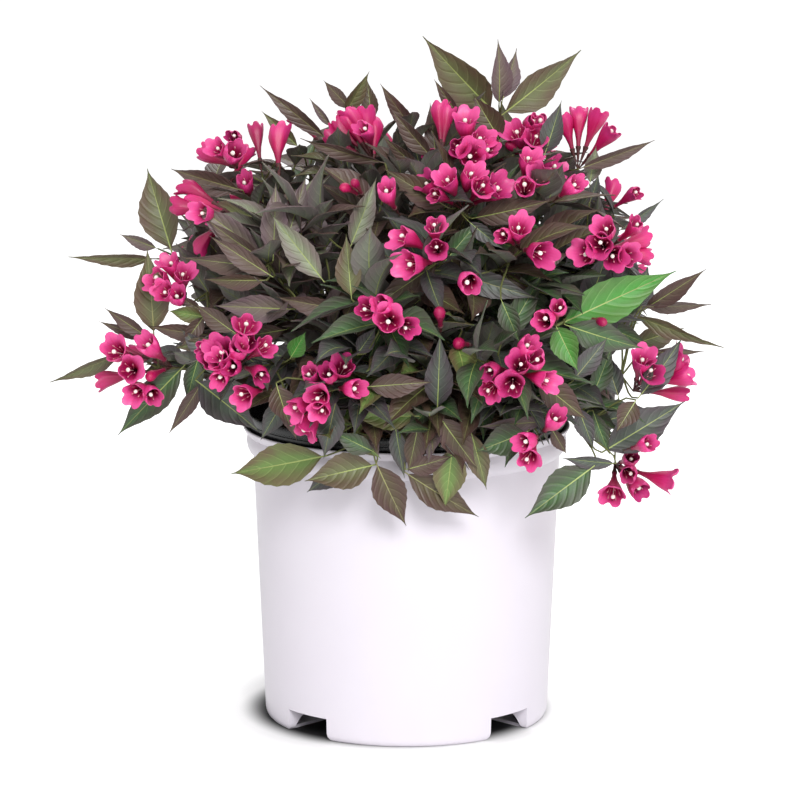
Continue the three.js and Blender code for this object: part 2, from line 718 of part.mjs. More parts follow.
const weigela = new THREE.Group();
weigela.add(outerPot(), innerPot(), soil(), rootCrown());
for (const { name, curve, normal } of boughs) {
  weigela.add(named(name, geometryOf(solidOf(bentLimb(curve, LIMB, normal))), MATERIALS.bark));
}
masses.forEach((mass, i) => weigela.add(massMesh(i)));

export default weigela;
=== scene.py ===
"""A weigela in flower in its nursery pot: the looks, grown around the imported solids."""

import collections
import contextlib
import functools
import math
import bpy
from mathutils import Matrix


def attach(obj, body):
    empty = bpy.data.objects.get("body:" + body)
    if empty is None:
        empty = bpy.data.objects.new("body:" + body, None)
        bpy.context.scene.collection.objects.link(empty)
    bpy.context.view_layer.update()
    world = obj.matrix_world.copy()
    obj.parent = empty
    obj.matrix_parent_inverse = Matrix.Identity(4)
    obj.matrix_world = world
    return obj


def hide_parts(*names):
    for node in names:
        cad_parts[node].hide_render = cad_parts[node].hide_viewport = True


bl_info = {
    "name": "Potted weigela",
    "version": (1, 0, 0),
    "blender": (4, 5, 0),
    "location": "View3D > Sidebar > Weigela",
    "description": "Pots, soil, bark, twigs, leaves and blossom of a weigela grown in a pot",
    "category": "Object",
}

import bmesh
import bpy
import numpy as np
from bpy.props import FloatProperty, FloatVectorProperty, IntProperty, PointerProperty
from bpy.types import Operator, Panel, PropertyGroup
from mathutils import Vector, noise

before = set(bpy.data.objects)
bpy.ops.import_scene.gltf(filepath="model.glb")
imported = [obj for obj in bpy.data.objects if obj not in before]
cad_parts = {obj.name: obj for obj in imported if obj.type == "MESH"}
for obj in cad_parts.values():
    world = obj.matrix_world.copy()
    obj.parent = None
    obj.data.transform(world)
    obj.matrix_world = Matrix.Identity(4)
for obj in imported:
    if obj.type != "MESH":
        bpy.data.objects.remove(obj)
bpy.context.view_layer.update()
BODY = "root"

# Growth is worked out in millimetres. A mesh is brought to metres when it is made.
MM = 0.001
UP = np.array((0.0, 0.0, 1.0))

# ---- sizes of the pots, in millimetres

ROUND = 120  # sides of a turned piece

OUTER_POT = {
    "height": 250, "lip": 138.5, "groove": 134.2, "bead": 135.6, "wall_top": 129.8, "wall_foot": 120.8,
    "foot": 117.4, "lip_drop": 7, "bead_drop": 13, "band_drop": 24, "foot_rounding": 7, "wall": 2.2,
    "floor": 2.6,
}
DRAIN = {
    "count": 4, "first_azimuth": 46, "mouth": 46, "back": 26, "depth": 31, "height": 19, "wall": 2.2,
    "hole_width": 51, "hole_height": 18.9, "hole_depth": 25, "foot_corner": 6.5,
}
INNER_POT = {"rim_above": 12, "rim": 135.4, "neck": 131.2, "floor": 113, "wall": 1.7, "lip_wall": 2.6}
SOIL = {"below_rim": 20, "crown": 3, "flat": 32, "chips": 420, "chip": 9}
CLEARANCE = 0.3

INNER_FLOOR = DRAIN["height"] + DRAIN["wall"] + CLEARANCE
INNER_RIM = OUTER_POT["height"] + INNER_POT["rim_above"]
SOIL_TOP = INNER_RIM - SOIL["below_rim"] + SOIL["crown"]
NECK = OUTER_POT["height"] - OUTER_POT["lip_drop"]
BAND = OUTER_POT["height"] - OUTER_POT["band_drop"]
CROWN_FOOT = SOIL_TOP + CLEARANCE

# ---- sizes of the plant, in millimetres

ROOT_CROWN = {"sides": 14, "foot": 27, "radii": (23, 18, 9), "heights": (9, 22, 32)}
LIMB_RADII = (4.8, 3.2)
STEM_RADII = (2.6, 1.5)
SIDE_STEM = {"radii": (1.6, 1.1), "from": 0.36}
# Each pair of leaves on a twig: its share of the twig's length, of a leaf's lean and of a leaf's length.
TWIG = {
    "radii": (1.1, 0.7), "length": 50, "lean": 50,
    "pairs": ((0.42, 1, 0.86), (0.72, 1, 0.94), (0.98, 0.7, 0.9)),
}
SHOOT_RADII = (0.9, 0.65)
PEDUNCLE_RADII = (0.75, 0.6)
LIMB_PULL = (0.36, 0.3)  # how far a limb keeps its first and its last way, as shares of its span
WAY_STEP = 0.02
BOUGH_WAY = {"rise": 0.8, "straight": 2, "out": 0.5, "up": 0.1}
FORK = {"gap": 9, "nearer": 4, "out": 0.8}  # between the stems at the end of a bough

LEAF = {"length": 74, "breadth": 0.35, "widest": 0.42, "droop": 0.14, "lean": 54, "thickness": 0.007}
NODE_GAP = 21
BARE_SHARE = {"main": 0.1, "side": 0.2}
LAST_NODE = 0.985
TWIG_GAP = 23
TWIG_SPAN = (0.22, 0.7)  # where the twigs of a stem start, and over how much of it they go on
INNER_TWIGS = 6  # leafy twigs along a bough
INNER_SPAN = (0.42, 0.55)
LAST_PAIR = {"lean": 0.68, "length": 1.08}
# The smallest leaves, at the tip of a stem without flowers.
YOUNG_PAIR = {"lean": 0.45, "length": 0.5, "tint": "mauve"}
TRIES = {"shares": (1, 0.82, 0.66), "turns": (0, 36, -36), "leans": (1, 0.55, 1.35)}
SPACE_SLACK = 16  # how far a leaf may reach into the next mass's space
LIMB_MARGIN = 4.5
POT_MARGIN = 2

FLOWER = {"length": 34, "mouth": 8.6, "spread": 62, "calyx": 11}
PEDUNCLE = (3, 9)
BUD_SHARE = 0.12
FRONT = -40  # stems whose tip is nearer the front bear only the clusters that are set there
HALF_SHARE = 0.3  # of the flowers that aren't buds, half open
DEEP_SHARE = 0.25  # of the flowers, in a deeper pink
FLOWER_KINDS = ("open", "half", "bud")
FLOWER_BALLS = ((0.5, 4.5), (0.86, 9.5))  # share of its length and radius of the balls that a flower fills
LEADING_BALLS = ((0.5, 4), (0.86, 8.5))
MOUTH_GAP = 14  # between the mouths of two flowers
# Room for a mouth inside the outline on the front view, and how far behind a leaf a flower counts as hidden.
ON_VIEW = {"mouth": ((0, -22), (-16, 0), (16, 0), (0, 16)), "behind": 12}
# How far a cluster looks for its stem and stands before it, and how far its flowers point to or from the eye.
CLUSTER = {"search": 22, "ahead": 6, "least": 0.22, "side": 0.36, "half_mouth": 8}
TUBE_SHARES = (0.35, 0.6, 0.8)  # places along a flower's tube that have to show
LEAST_SHOOT = 3

# How a leaf leaves its twig: how far it sags, and how far its face turns with the twig and up.
LEAF_WAY = {"sag": 0.12, "with_twig": 0.55, "up": 0.75}
FLATTEN = 0.5  # how far the pairs on a level twig lie down
NEIGHBOUR = 1.1  # how far off another leaf is looked at, as a share of a leaf's length
SPIRAL = 2.4  # radians from one twig or flower to the next
LEADING_LENGTH = 1.01
SHOWN_SPOTS = ((0.3, 0), (0.45, 0.25), (0.45, -0.25), (0.6, 0), (0.8, 0))

# What differs from one twig, leaf, flower or chip of bark to the next: from, to, and the key of its draws.
RANGES = {
    "pair_turn": (-0.4, 0.4, 11), "leaf_length": (0.8, 1.14, 12), "leaf_lean": (0.86, 1.14, 31),
    "leaf_breadth": (0.86, 1.16, 32), "twig_place": (0, 1, 21), "twig_turn": (0, 3.14, 22),
    "twig_length": (0.7, 1.2, 23), "inner_place": (0, 1, 24), "cluster_turn": (0, 6.28, 41),
    "stalk_place": (1, 12, 42), "flower_length": (0.88, 1.12, 43), "leading_length": (0.94, 1.1, 43),
    "peduncle": (*PEDUNCLE, 44), "bud": (0, 1, 45), "fold": (0.2, 0.6, 81), "arc": (0.1, 0.85, 82),
    "twist": (-0.4, 0.4, 83), "sway": (-0.09, 0.09, 84), "wave": (0, 0.03, 85), "phase": (0, 6.28, 86),
    "bright": (0, 1, 87), "spin": (0, math.tau, 91), "bend": (-0.1, 0.16, 92), "breadth": (0.9, 1.15, 93),
    "half": (0, 1, 94), "deep": (0, 1, 95), "chip_reach": (0.07, 1, 101), "chip_turn": (0, math.tau, 102),
    "chip_spin": (0, math.tau, 103), "chip_size": (0.6, 1.6, 104), "chip_tip": (-0.35, 0.35, 105),
    "chip_look": (0, 2, 106),
}
# Keys that tell a leaf's, a flower's or a tint's draws from all others.
KEYS = {"tint": 51, "twig_leaves": 60, "leading_leaf": 77, "leading_flower": 79, "young": 90, "bough": 9}
TWIG_KEYS = 10  # for each stem
TINT_BIAS = 1.5  # how much more often a mass's first tints come up
BRIGHT_SHARE = 0.6  # of the dark leaves, with a bright midrib

LINE_POINTS = 16
LINE_STEPS = 41

# Each bough leaves a tier of the root crown for its tip: azimuth, reach and height. Each mass has a main stem
# and may have side stems: azimuth, reach and height of the tip, how steeply it rises there, and its flowers.
BOUGHS = {
    "top": (2, (80, 20, 352), {
        "top_leader": ((92, 78, 510, 80, 0), (88, 92, 462, 58, 4)),
        "top_middle_bloom": ((42, 40, 480, 66, 7), (-13, 104, 436, 50, 3)),
    }),
    "upper_front": (2, (10, 38, 334), {
        "high_front_bloom": ((21, 114, 446, 45, 8), (5, 172, 405, 28, 5), (-10, 112, 360, 20, 0)),
    }),
    "upper_right": (1, (86, 46, 332), {
        "right_shoulder_bloom": ((98, 136, 464, 50, 5), (90, 162, 424, 34, 4)),
        "front_shoulder_bloom": ((47, 134, 444, 42, 6), (28, 172, 408, 28, 4)),
    }),
    "upper_left": (2, (-80, 34, 344), {
        "left_crest_bloom": ((-64, 38, 476, 70, 6), (-92, 82, 462, 58, 3)),
        "left_shoulder_bloom": ((-83, 120, 456, 42, 6), (-79, 152, 424, 30, 5)),
    }),
    "left": (1, (-62, 50, 322), {
        "left_side_bloom": ((-74, 172, 368, 16, 5), (-85, 188, 392, 12, 0)),
        "left_front_leaves": ((-42, 168, 404, 48, 0), (-30, 138, 432, 60, 0)),
    }),
    "low_left": (0, (-58, 60, 298), {
        "low_left_bloom": ((-39, 170, 322, 4, 9), (-42, 176, 264, -34, 0)),
        "far_left_bloom": ((-75, 212, 306, 2, 7),),
    }),
    "front": (1, (-12, 52, 310), {
        "front_bloom": ((-5, 196, 366, 8, 4), (4, 134, 322, 0, 0)),
        "low_front_bloom": ((-17, 190, 312, 0, 7), (-10, 168, 270, -42, 0)),
    }),
    "front_right": (0, (20, 60, 302), {
        "right_front_bloom": ((23, 200, 328, 4, 8), (33, 176, 284, -40, 3)),
        "front_leaves": ((8, 186, 320, 14, 0), (6, 170, 274, -42, 0)),
    }),
    "right": (1, (58, 54, 318), {
        "right_fan_bloom": ((71, 156, 402, 22, 8), (49, 190, 362, 22, 0)),
    }),
    "low_right": (0, (76, 60, 298), {
        "far_right_bloom": ((73, 186, 300, 8, 6), (93, 190, 340, 12, 0)),
        "low_right_bloom": ((79, 178, 240, -48, 5), (53, 174, 266, -38, 0)),
    }),
    "back_right": (0, (126, 56, 310), {
        "back_right_high": ((140, 140, 446, 44, 5), (117, 182, 384, 22, 5)),
        "back_right_low": ((130, 200, 296, -6, 5), (104, 184, 290, -20, 0)),
    }),
    "back": (0, (180, 54, 318), {
        "back_top": ((178, 110, 460, 52, 6), (180, 196, 374, 18, 6)),
        "back_low": ((166, 200, 288, -12, 5), (-166, 196, 300, -8, 3)),
    }),
    "back_left": (0, (-124, 56, 308), {
        "back_left_high": ((-140, 144, 442, 44, 5), (-112, 184, 388, 22, 5)),
        "back_left_low": ((-133, 204, 300, -6, 5), (-104, 186, 286, -22, 0)),
    }),
}

# The boughs whose leaves and blossom are joined into one piece each.
SIDES = {
    "crown_top": ("top", "upper_front"),
    "upper_sides": ("upper_right", "upper_left"),
    "left": ("left", "low_left"),
    "front": ("front", "front_right"),
    "right": ("right", "low_right"),
    "back_right": ("back_right", "back"),
    "back_left": ("back_left",),
}

# The tints that a mass's sprays are dealt, the first ones more often.
MASS_TINTS = {
    "top_leader": "olive umber mauve", "top_middle_bloom": "umber bronze olive",
    "high_front_bloom": "bronze umber slate", "right_shoulder_bloom": "slate umber bronze",
    "front_shoulder_bloom": "bronze slate forest", "left_crest_bloom": "umber bronze olive",
    "left_shoulder_bloom": "umber olive bronze", "left_side_bloom": "olive bronze umber",
    "left_front_leaves": "mauve umber sage", "low_left_bloom": "slate bronze forest",
    "far_left_bloom": "forest olive slate", "front_bloom": "bronze slate forest",
    "low_front_bloom": "slate bronze moss", "right_front_bloom": "forest slate bronze",
    "front_leaves": "bronze moss forest", "right_fan_bloom": "forest slate umber",
    "far_right_bloom": "slate forest umber", "low_right_bloom": "forest slate moss",
}
OTHER_TINTS = "bronze slate umber olive forest"

# The front view is 793 by 800 units. The eye is in millimetres, and looks down by the tilt.
VIEW = {"width": 793, "height": 800, "lens": 148.5, "sensor": 36, "tilt": 10}
EYE = np.array((-8.47, -2750.0, 754.7))
TILT = math.radians(VIEW["tilt"])
FOCUS = VIEW["lens"] / VIEW["sensor"] * VIEW["width"]

# The crown's outline on the front view, without the leaves and flowers that stand out from it.
CROWN_OUTLINE = (
    (338, 120), (365, 112), (395, 118), (425, 112), (445, 98), (487, 98), (512, 112), (548, 112),
    (556, 150), (590, 160), (600, 185), (622, 205), (640, 225), (650, 262), (655, 290), (648, 315),
    (640, 340), (612, 352), (617, 385), (600, 402), (640, 412), (662, 412), (640, 430), (612, 440),
    (590, 438), (570, 425), (556, 430), (545, 448), (520, 462), (490, 470), (470, 478), (445, 470),
    (420, 465), (395, 462), (360, 455), (333, 450), (318, 440), (300, 428), (262, 402), (235, 420),
    (212, 408), (200, 388), (190, 372), (165, 378), (135, 372), (150, 352), (165, 335), (200, 335),
    (215, 318), (196, 300), (175, 290), (165, 262), (178, 235), (172, 212), (188, 185), (215, 165),
    (245, 158), (275, 160), (300, 150), (318, 138),
)

# Flower clusters at the front: where the stalks part on the front view, each flower's mouth, and how far in
# front of the pot's axis it stands where its stem doesn't say. A "side" flower is half open and turned away.
CLUSTERS = (
    ((373, 162), ((322, 138, "side"), (330, 123, "side"), (340, 113, "side"), (353, 107, "side"),
      (364, 111, "side"), (378, 117, "side"), (347, 124, "side"), (368, 126, "half")), 60),
    ((317, 141), ((295, 115, "side"),)),
    ((239, 171), ((202, 153, "side"), (218, 148), (231, 155), (238, 131, "half"), (251, 149, "side"))),
    ((261, 161), ((256, 124, "side"),)), ((264, 205), ((241, 186),)),
    ((227, 213), ((184, 180, "side"), (172, 206, "side"), (190, 196, "side"), (204, 216)), 92),
    ((214, 232), ((198, 251, "side"),), 104),
    ((190, 306), ((172, 259), (154, 275), (163, 291), (180, 273), (176, 301))),
    ((174, 367), ((149, 345), (108, 344, "side"), (127, 351, "side"), (98, 382, "side"),
      (145, 378, "bud"))),
    ((238, 366), ((199, 345), (209, 361), (224, 353), (221, 374), (249, 318), (251, 336), (240, 350),
      (267, 373), (270, 345), (234, 367), (222, 364)), 152),
    ((333, 388), ((305, 375), (330, 374), (347, 364), (356, 389), (316, 400), (319, 414), (301, 436),
      (291, 412)), 188), ((392, 316), ((362, 309), (385, 303), (387, 328), (409, 330))),
    ((440, 262), ((399, 230), (435, 242), (432, 221), (407, 266))), ((479, 275), ((460, 283),), 205),
    ((468, 166), ((463, 119), (477, 137), (453, 144), (470, 156), (487, 152)), 75),
    ((463, 212), ((421, 181), (444, 177), (467, 172), (485, 183), (500, 188), (430, 192))),
    ((524, 168), ((530, 116), (517, 130), (537, 134), (540, 118), (507, 142, "bud"))),
    ((522, 203), ((541, 173), (527, 155), (524, 187, "half"))),
    ((576, 172), ((561, 114, "side"), (578, 106, "side"), (598, 111, "side"), (614, 128, "half"))),
    ((602, 216), ((614, 182, "side"), (638, 191, "half"))),
    ((606, 250), ((641, 224, "half"), (649, 241, "side"), (650, 259, "side"), (597, 245), (580, 256),
      (612, 259), (629, 264), (607, 229)), 112), ((519, 251), ((514, 230), (537, 252), (500, 233, "half"))),
    ((554, 326), ((558, 306, "half"), (542, 319, "half")), 185),
    ((512, 372), ((488, 367), (540, 359), (512, 390), (480, 393), (526, 343), (524, 366), (546, 380))),
    ((631, 391), ((687, 360), (692, 373), (651, 368), (641, 357), (684, 394, "side"))),
    ((613, 464), ((631, 457, "half"), (634, 473), (641, 493), (611, 501), (674, 484))),
    ((622, 450), ((648, 443),), 118), ((538, 435), ((555, 420, "half"), (528, 441), (525, 462)), 158),
    ((440, 336), ((440, 308, "bud"),), 190), ((474, 346), ((452, 343, "bud"),)),
    ((400, 217), ((383, 194, "half"),), 150), ((366, 202), ((341, 183, "bud"), (353, 180, "bud")), 120),
    ((582, 318), ((605, 323, "bud"),)), ((279, 160), ((277, 131, "side"),), 55),
    ((441, 154), ((438, 103, "side"), (449, 108, "side")), 66), ((272, 388), ((239, 396),), 168),
    ((140, 357), ((113, 352),), 45), ((148, 371), ((123, 371),), 50),
    ((158, 384), ((136, 390), (148, 394, "half")), 52), ((552, 203), ((573, 186),), 128),
)

# Leaves that stand out at the front and on the outline: x and y of root and tip on the front view, how far in
# front of the pot's axis root and tip are, breadth, roll away from the eye, and tint.
LEADING_LEAVES = (
    (493, 114, 424, 42, 10, 50, 0.37, 15, "olive"), (500, 118, 581, 54, 10, -20, 0.33, 25, "olive"),
    (498, 108, 499, 44, 5, 30, 0.33, 30, "mauve"), (501, 104, 516, 51, 12, -15, 0.31, 35, "mauve"),
    (500, 144, 473, 98, 40, 45, 0.56, 5, "bronze"), (456, 119, 445, 70, 20, 20, 0.35, 10, "umber"),
    (458, 118, 434, 82, 30, 40, 0.26, 20, "umber"), (415, 134, 379, 88, 40, 50, 0.3, 25, "umber"),
    (432, 160, 390, 112, 70, 80, 0.3, 20, "umber"), (419, 171, 382, 139, 90, 110, 0.25, 25, "umber"),
    (449, 210, 383, 172, 120, 135, 0.35, 0, "bronze"), (471, 220, 550, 205, 120, 140, 0.33, 10, "umber"),
    (577, 171, 653, 144, 20, 0, 0.19, 30, "umber"), (616, 233, 662, 202, 30, 20, 0.22, 35, "slate"),
    (543, 158, 561, 104, 40, 40, 0.4, 0, "slate"), (556, 326, 673, 271, 150, 120, 0.31, 0, "leaf_green"),
    (640, 311, 704, 272, 45, 65, 0.26, 20, "umber"), (640, 307, 709, 307, 55, 20, 0.2, 45, "umber"),
    (630, 315, 719, 350, 70, 95, 0.19, 40, "olive"), (628, 346, 682, 327, 50, 35, 0.4, 10, "olive"),
    (642, 352, 704, 353, 40, 20, 0.16, 30, "umber"), (636, 398, 683, 339, 90, 75, 0.34, 15, "slate"),
    (617, 398, 601, 350, 100, 95, 0.44, 5, "slate"), (590, 398, 612, 345, 110, 100, 0.36, 10, "forest"),
    (600, 325, 648, 345, 80, 70, 0.36, 15, "forest"), (554, 325, 576, 372, 180, 190, 0.53, 0, "leaf_green"),
    (563, 325, 641, 352, 160, 150, 0.37, 10, "forest"), (534, 378, 585, 420, 190, 180, 0.42, 0, "bronze"),
    (572, 380, 607, 338, 170, 165, 0.39, 0, "slate"), (593, 465, 524, 516, 140, 150, 0.44, 0, "forest"),
    (614, 463, 561, 458, 135, 150, 0.3, 40, "slate"), (600, 452, 683, 403, 110, 90, 0.4, 0, "slate"),
    (634, 400, 615, 432, 130, 140, 0.6, 0, "bronze"), (174, 254, 149, 169, 40, 20, 0.43, 10, "olive"),
    (244, 192, 172, 171, 70, 60, 0.33, 25, "umber"), (160, 250, 122, 235, 30, 20, 0.32, 20, "mauve"),
    (159, 260, 72, 260, 30, 50, 0.2, 45, "olive"), (156, 336, 151, 250, 70, 70, 0.4, 0, "olive"),
    (152, 339, 106, 308, 60, 50, 0.26, 15, "umber"), (150, 340, 101, 321, 50, 40, 0.22, 20, "umber"),
    (125, 353, 54, 384, 45, 15, 0.19, 40, "olive"), (187, 365, 118, 435, 62, 60, 0.32, 0, "forest"),
    (208, 318, 170, 311, 85, 80, 0.42, 10, "moss"), (206, 316, 184, 348, 95, 95, 0.4, 10, "umber"),
    (213, 336, 150, 329, 88, 75, 0.28, 15, "umber"), (216, 340, 176, 350, 100, 90, 0.34, 15, "olive"),
    (204, 312, 178, 296, 80, 80, 0.34, 15, "umber"), (210, 356, 183, 330, 98, 95, 0.42, 10, "slate"),
    (204, 382, 172, 435, 95, 90, 0.24, 10, "umber"), (197, 380, 262, 430, 120, 140, 0.46, 0, "slate"),
    (277, 383, 290, 427, 180, 175, 0.55, 0, "bronze"), (274, 262, 278, 184, 140, 130, 0.35, 0, "mauve"),
    (287, 244, 307, 178, 130, 110, 0.37, 10, "mauve"), (264, 256, 191, 200, 130, 120, 0.28, 10, "mauve"),
    (266, 261, 206, 223, 140, 130, 0.26, 25, "umber"), (325, 283, 272, 214, 160, 150, 0.32, 10, "sage"),
    (274, 278, 211, 237, 150, 140, 0.28, 15, "umber"), (266, 268, 182, 258, 140, 120, 0.25, 30, "umber"),
    (268, 281, 205, 282, 150, 140, 0.28, 30, "bronze"), (296, 310, 215, 306, 150, 125, 0.32, 15, "mauve"),
    (328, 455, 229, 475, 150, 120, 0.38, 0, "moss"), (376, 464, 306, 480, 160, 160, 0.5, 0, "olive"),
    (376, 462, 405, 525, 165, 158, 0.46, 0, "bronze"), (404, 471, 477, 519, 165, 150, 0.33, 5, "bronze"),
    (452, 445, 446, 509, 170, 160, 0.48, 0, "moss"), (337, 399, 323, 458, 190, 170, 0.39, 0, "slate"),
    (419, 416, 349, 416, 180, 185, 0.37, 5, "moss"), (527, 431, 476, 452, 170, 175, 0.58, 0, "forest"),
    (438, 415, 476, 470, 185, 170, 0.4, 0, "bronze"), (366, 387, 432, 382, 205, 205, 0.37, 5, "umber"),
    (357, 355, 377, 328, 195, 195, 0.53, 10, "slate"), (437, 410, 440, 335, 190, 205, 0.35, 0, "slate"),
    (328, 142, 262, 88, 20, 25, 0.2, 20, "umber"), (300, 150, 263, 113, 35, 35, 0.28, 10, "olive"),
    (352, 112, 323, 83, 20, 5, 0.33, 20, "umber"), (345, 117, 369, 75, 15, 30, 0.32, 25, "olive"),
    (372, 125, 368, 82, 10, 5, 0.39, 0, "bronze"), (332, 130, 310, 101, 25, 30, 0.23, 20, "mauve"),
    (385, 165, 300, 143, 85, 80, 0.19, 35, "umber"), (350, 250, 378, 180, 135, 125, 0.32, 10, "sage"),
    (314, 362, 252, 352, 105, 95, 0.37, 0, "slate"), (291, 359, 307, 333, 150, 150, 0.6, 0, "leaf_green"),
    (467, 222, 503, 252, 140, 150, 0.32, 10, "slate"), (440, 262, 372, 310, 165, 175, 0.32, 0, "bronze"),
    (450, 272, 537, 302, 165, 165, 0.28, 10, "slate"), (500, 345, 545, 272, 170, 150, 0.28, 0, "forest"),
    (445, 262, 478, 222, 150, 140, 0.39, 0, "forest"), (345, 310, 276, 300, 160, 155, 0.3, 20, "umber"),
    (237, 334, 196, 304, 115, 100, 0.37, 10, "umber"), (263, 352, 213, 320, 105, 95, 0.33, 0, "slate"),
    (288, 330, 230, 339, 105, 95, 0.32, 20, "bronze"), (418, 424, 409, 472, 178, 172, 0.42, 10, "bronze"),
    (405, 469, 453, 457, 168, 172, 0.4, 15, "umber"), (470, 430, 487, 489, 172, 158, 0.34, 10, "olive"),
    (395, 424, 403, 478, 172, 165, 0.3, 10, "slate"), (375, 452, 332, 430, 172, 176, 0.42, 10, "forest"),
    (546, 421, 477, 426, 165, 172, 0.24, 20, "mauve"), (346, 462, 307, 492, 152, 148, 0.46, 10, "slate"),
    (352, 434, 381, 458, 166, 168, 0.44, 10, "moss"), (286, 398, 262, 440, 150, 148, 0.44, 5, "slate"),
    (286, 392, 298, 441, 168, 172, 0.4, 10, "umber"), (352, 300, 346, 236, 185, 180, 0.4, 5, "olive"),
    (500, 300, 520, 345, 188, 190, 0.42, 5, "forest"), (200, 358, 187, 402, 92, 88, 0.42, 10, "forest"),
    (436, 162, 430, 104, 40, 30, 0.3, 10, "umber"), (588, 186, 594, 148, 5, 0, 0.46, 10, "sage"),
    (588, 204, 598, 177, 60, 65, 0.42, 10, "slate"), (420, 168, 408, 128, 60, 60, 0.34, 10, "slate"),
    (550, 428, 566, 454, 148, 146, 0.44, 10, "umber"), (591, 410, 607, 456, 112, 118, 0.36, 10, "forest"),
    (576, 406, 592, 449, 128, 130, 0.42, 10, "slate"),
)

# ---- colours


def srgb(code):
    """A colour's linear red, green and blue from its usual six-digit code."""
    parts = [((code >> shift) & 255) / 255 for shift in (16, 8, 0)]
    return tuple(c / 12.92 if c <= 0.04045 else ((c + 0.055) / 1.055) ** 2.4 for c in parts)


# Each leaf tint: the blade, its flush towards the edge, and its side veins.
TINT_CODES = {
    "bronze": (0x564C36, 0x533B38, 0x878660),
    "umber": (0x5F5043, 0x58413F, 0x877D66),
    "olive": (0x676C47, 0x624F41, 0x989F6E),
    "slate": (0x4F594E, 0x4E444A, 0x7B8672),
    "forest": (0x46653D, 0x4A483F, 0x779C5E),
    "moss": (0x6B8745, 0x68553F, 0xA2B86E),
    "leaf_green": (0x4B923B, 0x577B3F, 0x98C77A),
    "mauve": (0x786D61, 0x6C575E, 0x9B9587),
    "sage": (0x818B6C, 0x726461, 0xADB899),
}
TINTS = {name: tuple(srgb(code) for code in codes) for name, codes in TINT_CODES.items()}
TINT_ORDER = tuple(TINTS)
GREEN_TINTS = ("forest", "moss", "leaf_green", "sage")

# ---- chance, the same for the same keys

WORD = 0xFFFFFFFF
START, SPREAD, STIR = 2166136261, 16777619, 1540483477


def chance(*keys):
    """A number from 0 to 1. Keys only tell one draw from another, so the order of draws doesn't matter."""
    mixed = START
    for key in keys:
        mixed = ((mixed ^ (key & WORD)) * SPREAD) & WORD
        mixed ^= mixed >> 13
        mixed = (mixed * STIR) & WORD
        mixed ^= mixed >> 15
    return mixed / (WORD + 1)


def between(low, high, *keys):
    return low + (high - low) * chance(*keys)


def drawn(what, first, *keys):
    """A draw from a range, for the thing with these keys."""
    low, high, key = RANGES[what]
    return between(low, high, first, key, *keys)


def own_draw(item, what):
    """A leaf's or a flower's own draw from a range."""
    low, high, key = RANGES[what]
    return between(low, high, *item.key, key)


# ---- middle lines of limbs


def unit(way):
    return way / np.linalg.norm(way)


def swung(first, second, angle):
    """A direction that turns from a first one towards a second one, square to it."""
    return first * math.cos(angle) + second * math.sin(angle)


def place(azimuth, reach, height):
    turn = math.radians(azimuth)
    return np.array((reach * math.sin(turn), -reach * math.cos(turn), height))


def sides_of(axis):
    """A direction square to an axis, level where the axis leans, and a second one square to both."""
    level = unit(np.cross(axis, UP if abs(axis[2]) < 0.95 else (1.0, 0.0, 0.0)))
    return level, unit(np.cross(level, axis))


class Limb:
    """A middle line that leaves its start one way and reaches its tip another, and its radii."""

    def __init__(self, start, start_way, tip, tip_way, radii, flowers=0):
        span = np.linalg.norm(tip - start)
        near, far = start + start_way * span * LIMB_PULL[0], tip - tip_way * span * LIMB_PULL[1]
        t = np.linspace(0, 1, LINE_STEPS)[:, None]
        left = 1 - t
        self.line = left**3 * start + 3 * left**2 * t * near + 3 * left * t * t * far + t**3 * tip
        steps = np.linalg.norm(np.diff(self.line, axis=0), axis=1)
        self.run = np.concatenate(((0.0,), np.cumsum(steps)))
        self.length = self.run[-1]
        self.radii = radii
        self.flowers = flowers
        self.used = 1.0

    def at(self, share):
        spot = np.clip(share, 0, 1) * self.length
        return np.stack([np.interp(spot, self.run, self.line[:, i]) for i in range(3)], axis=-1)

    def way(self, share):
        return unit(self.at(min(share + WAY_STEP, 1)) - self.at(max(share - WAY_STEP, 0)))

    def spaced(self, count):
        return self.at(np.linspace(0, 1, count + 1))

    def hold(self, share):
        """Grow at least as far as a share of the line, where something stands."""
        self.used = max(self.used, share)


def crown_face(tier, azimuth):
    """The middle and outward normal of the flat side of the root crown nearest an azimuth, on one tier."""
    step = 360 / ROOT_CROWN["sides"]
    facing = (math.floor(azimuth / step) + 0.5) * step
    flat = math.cos(math.radians(step / 2))
    radii = (ROOT_CROWN["foot"], *ROOT_CROWN["radii"])
    heights = (0, *ROOT_CROWN["heights"])
    low = place(facing, radii[tier] * flat, CROWN_FOOT + heights[tier])
    high = place(facing, radii[tier + 1] * flat, CROWN_FOOT + heights[tier + 1])
    normal = unit(np.cross(place(facing + 90, 1, 0), unit(high - low)))
    return (low + high) / 2, normal


def bough_limb(tier, tip):
    middle, normal = crown_face(tier, tip[0])
    start = middle + normal * CLEARANCE
    end = place(*tip)
    outwards = place(tip[0], BOUGH_WAY["out"], BOUGH_WAY["up"])
    tip_way = unit(unit(end - start) * BOUGH_WAY["straight"] + outwards)
    return Limb(start, unit(normal + (0, 0, BOUGH_WAY["rise"])), end, tip_way, LIMB_RADII)


def fork_place(bough, k, tip):
    """Where the k-th stem leaves a bough, and which way: from its end, or from its side further back."""
    if k == 0:
        return bough.at(1), bough.way(1)
    share = 1 - (FORK["gap"] * k - FORK["nearer"]) / bough.length
    way = bough.way(share)
    wanted = tip - bough.at(1)
    sideways = unit(wanted - way * wanted.dot(way))
    return bough.at(share) + sideways * LIMB_RADII[1] * FORK["out"], unit(sideways + way)


def stem_to(start, start_way, place_of_tip, radii):
    azimuth, reach, height, rise, flowers = place_of_tip
    tip_way = place(azimuth, math.cos(math.radians(rise)), math.sin(math.radians(rise)))
    return Limb(start, start_way, place(azimuth, reach, height), tip_way, radii, flowers)


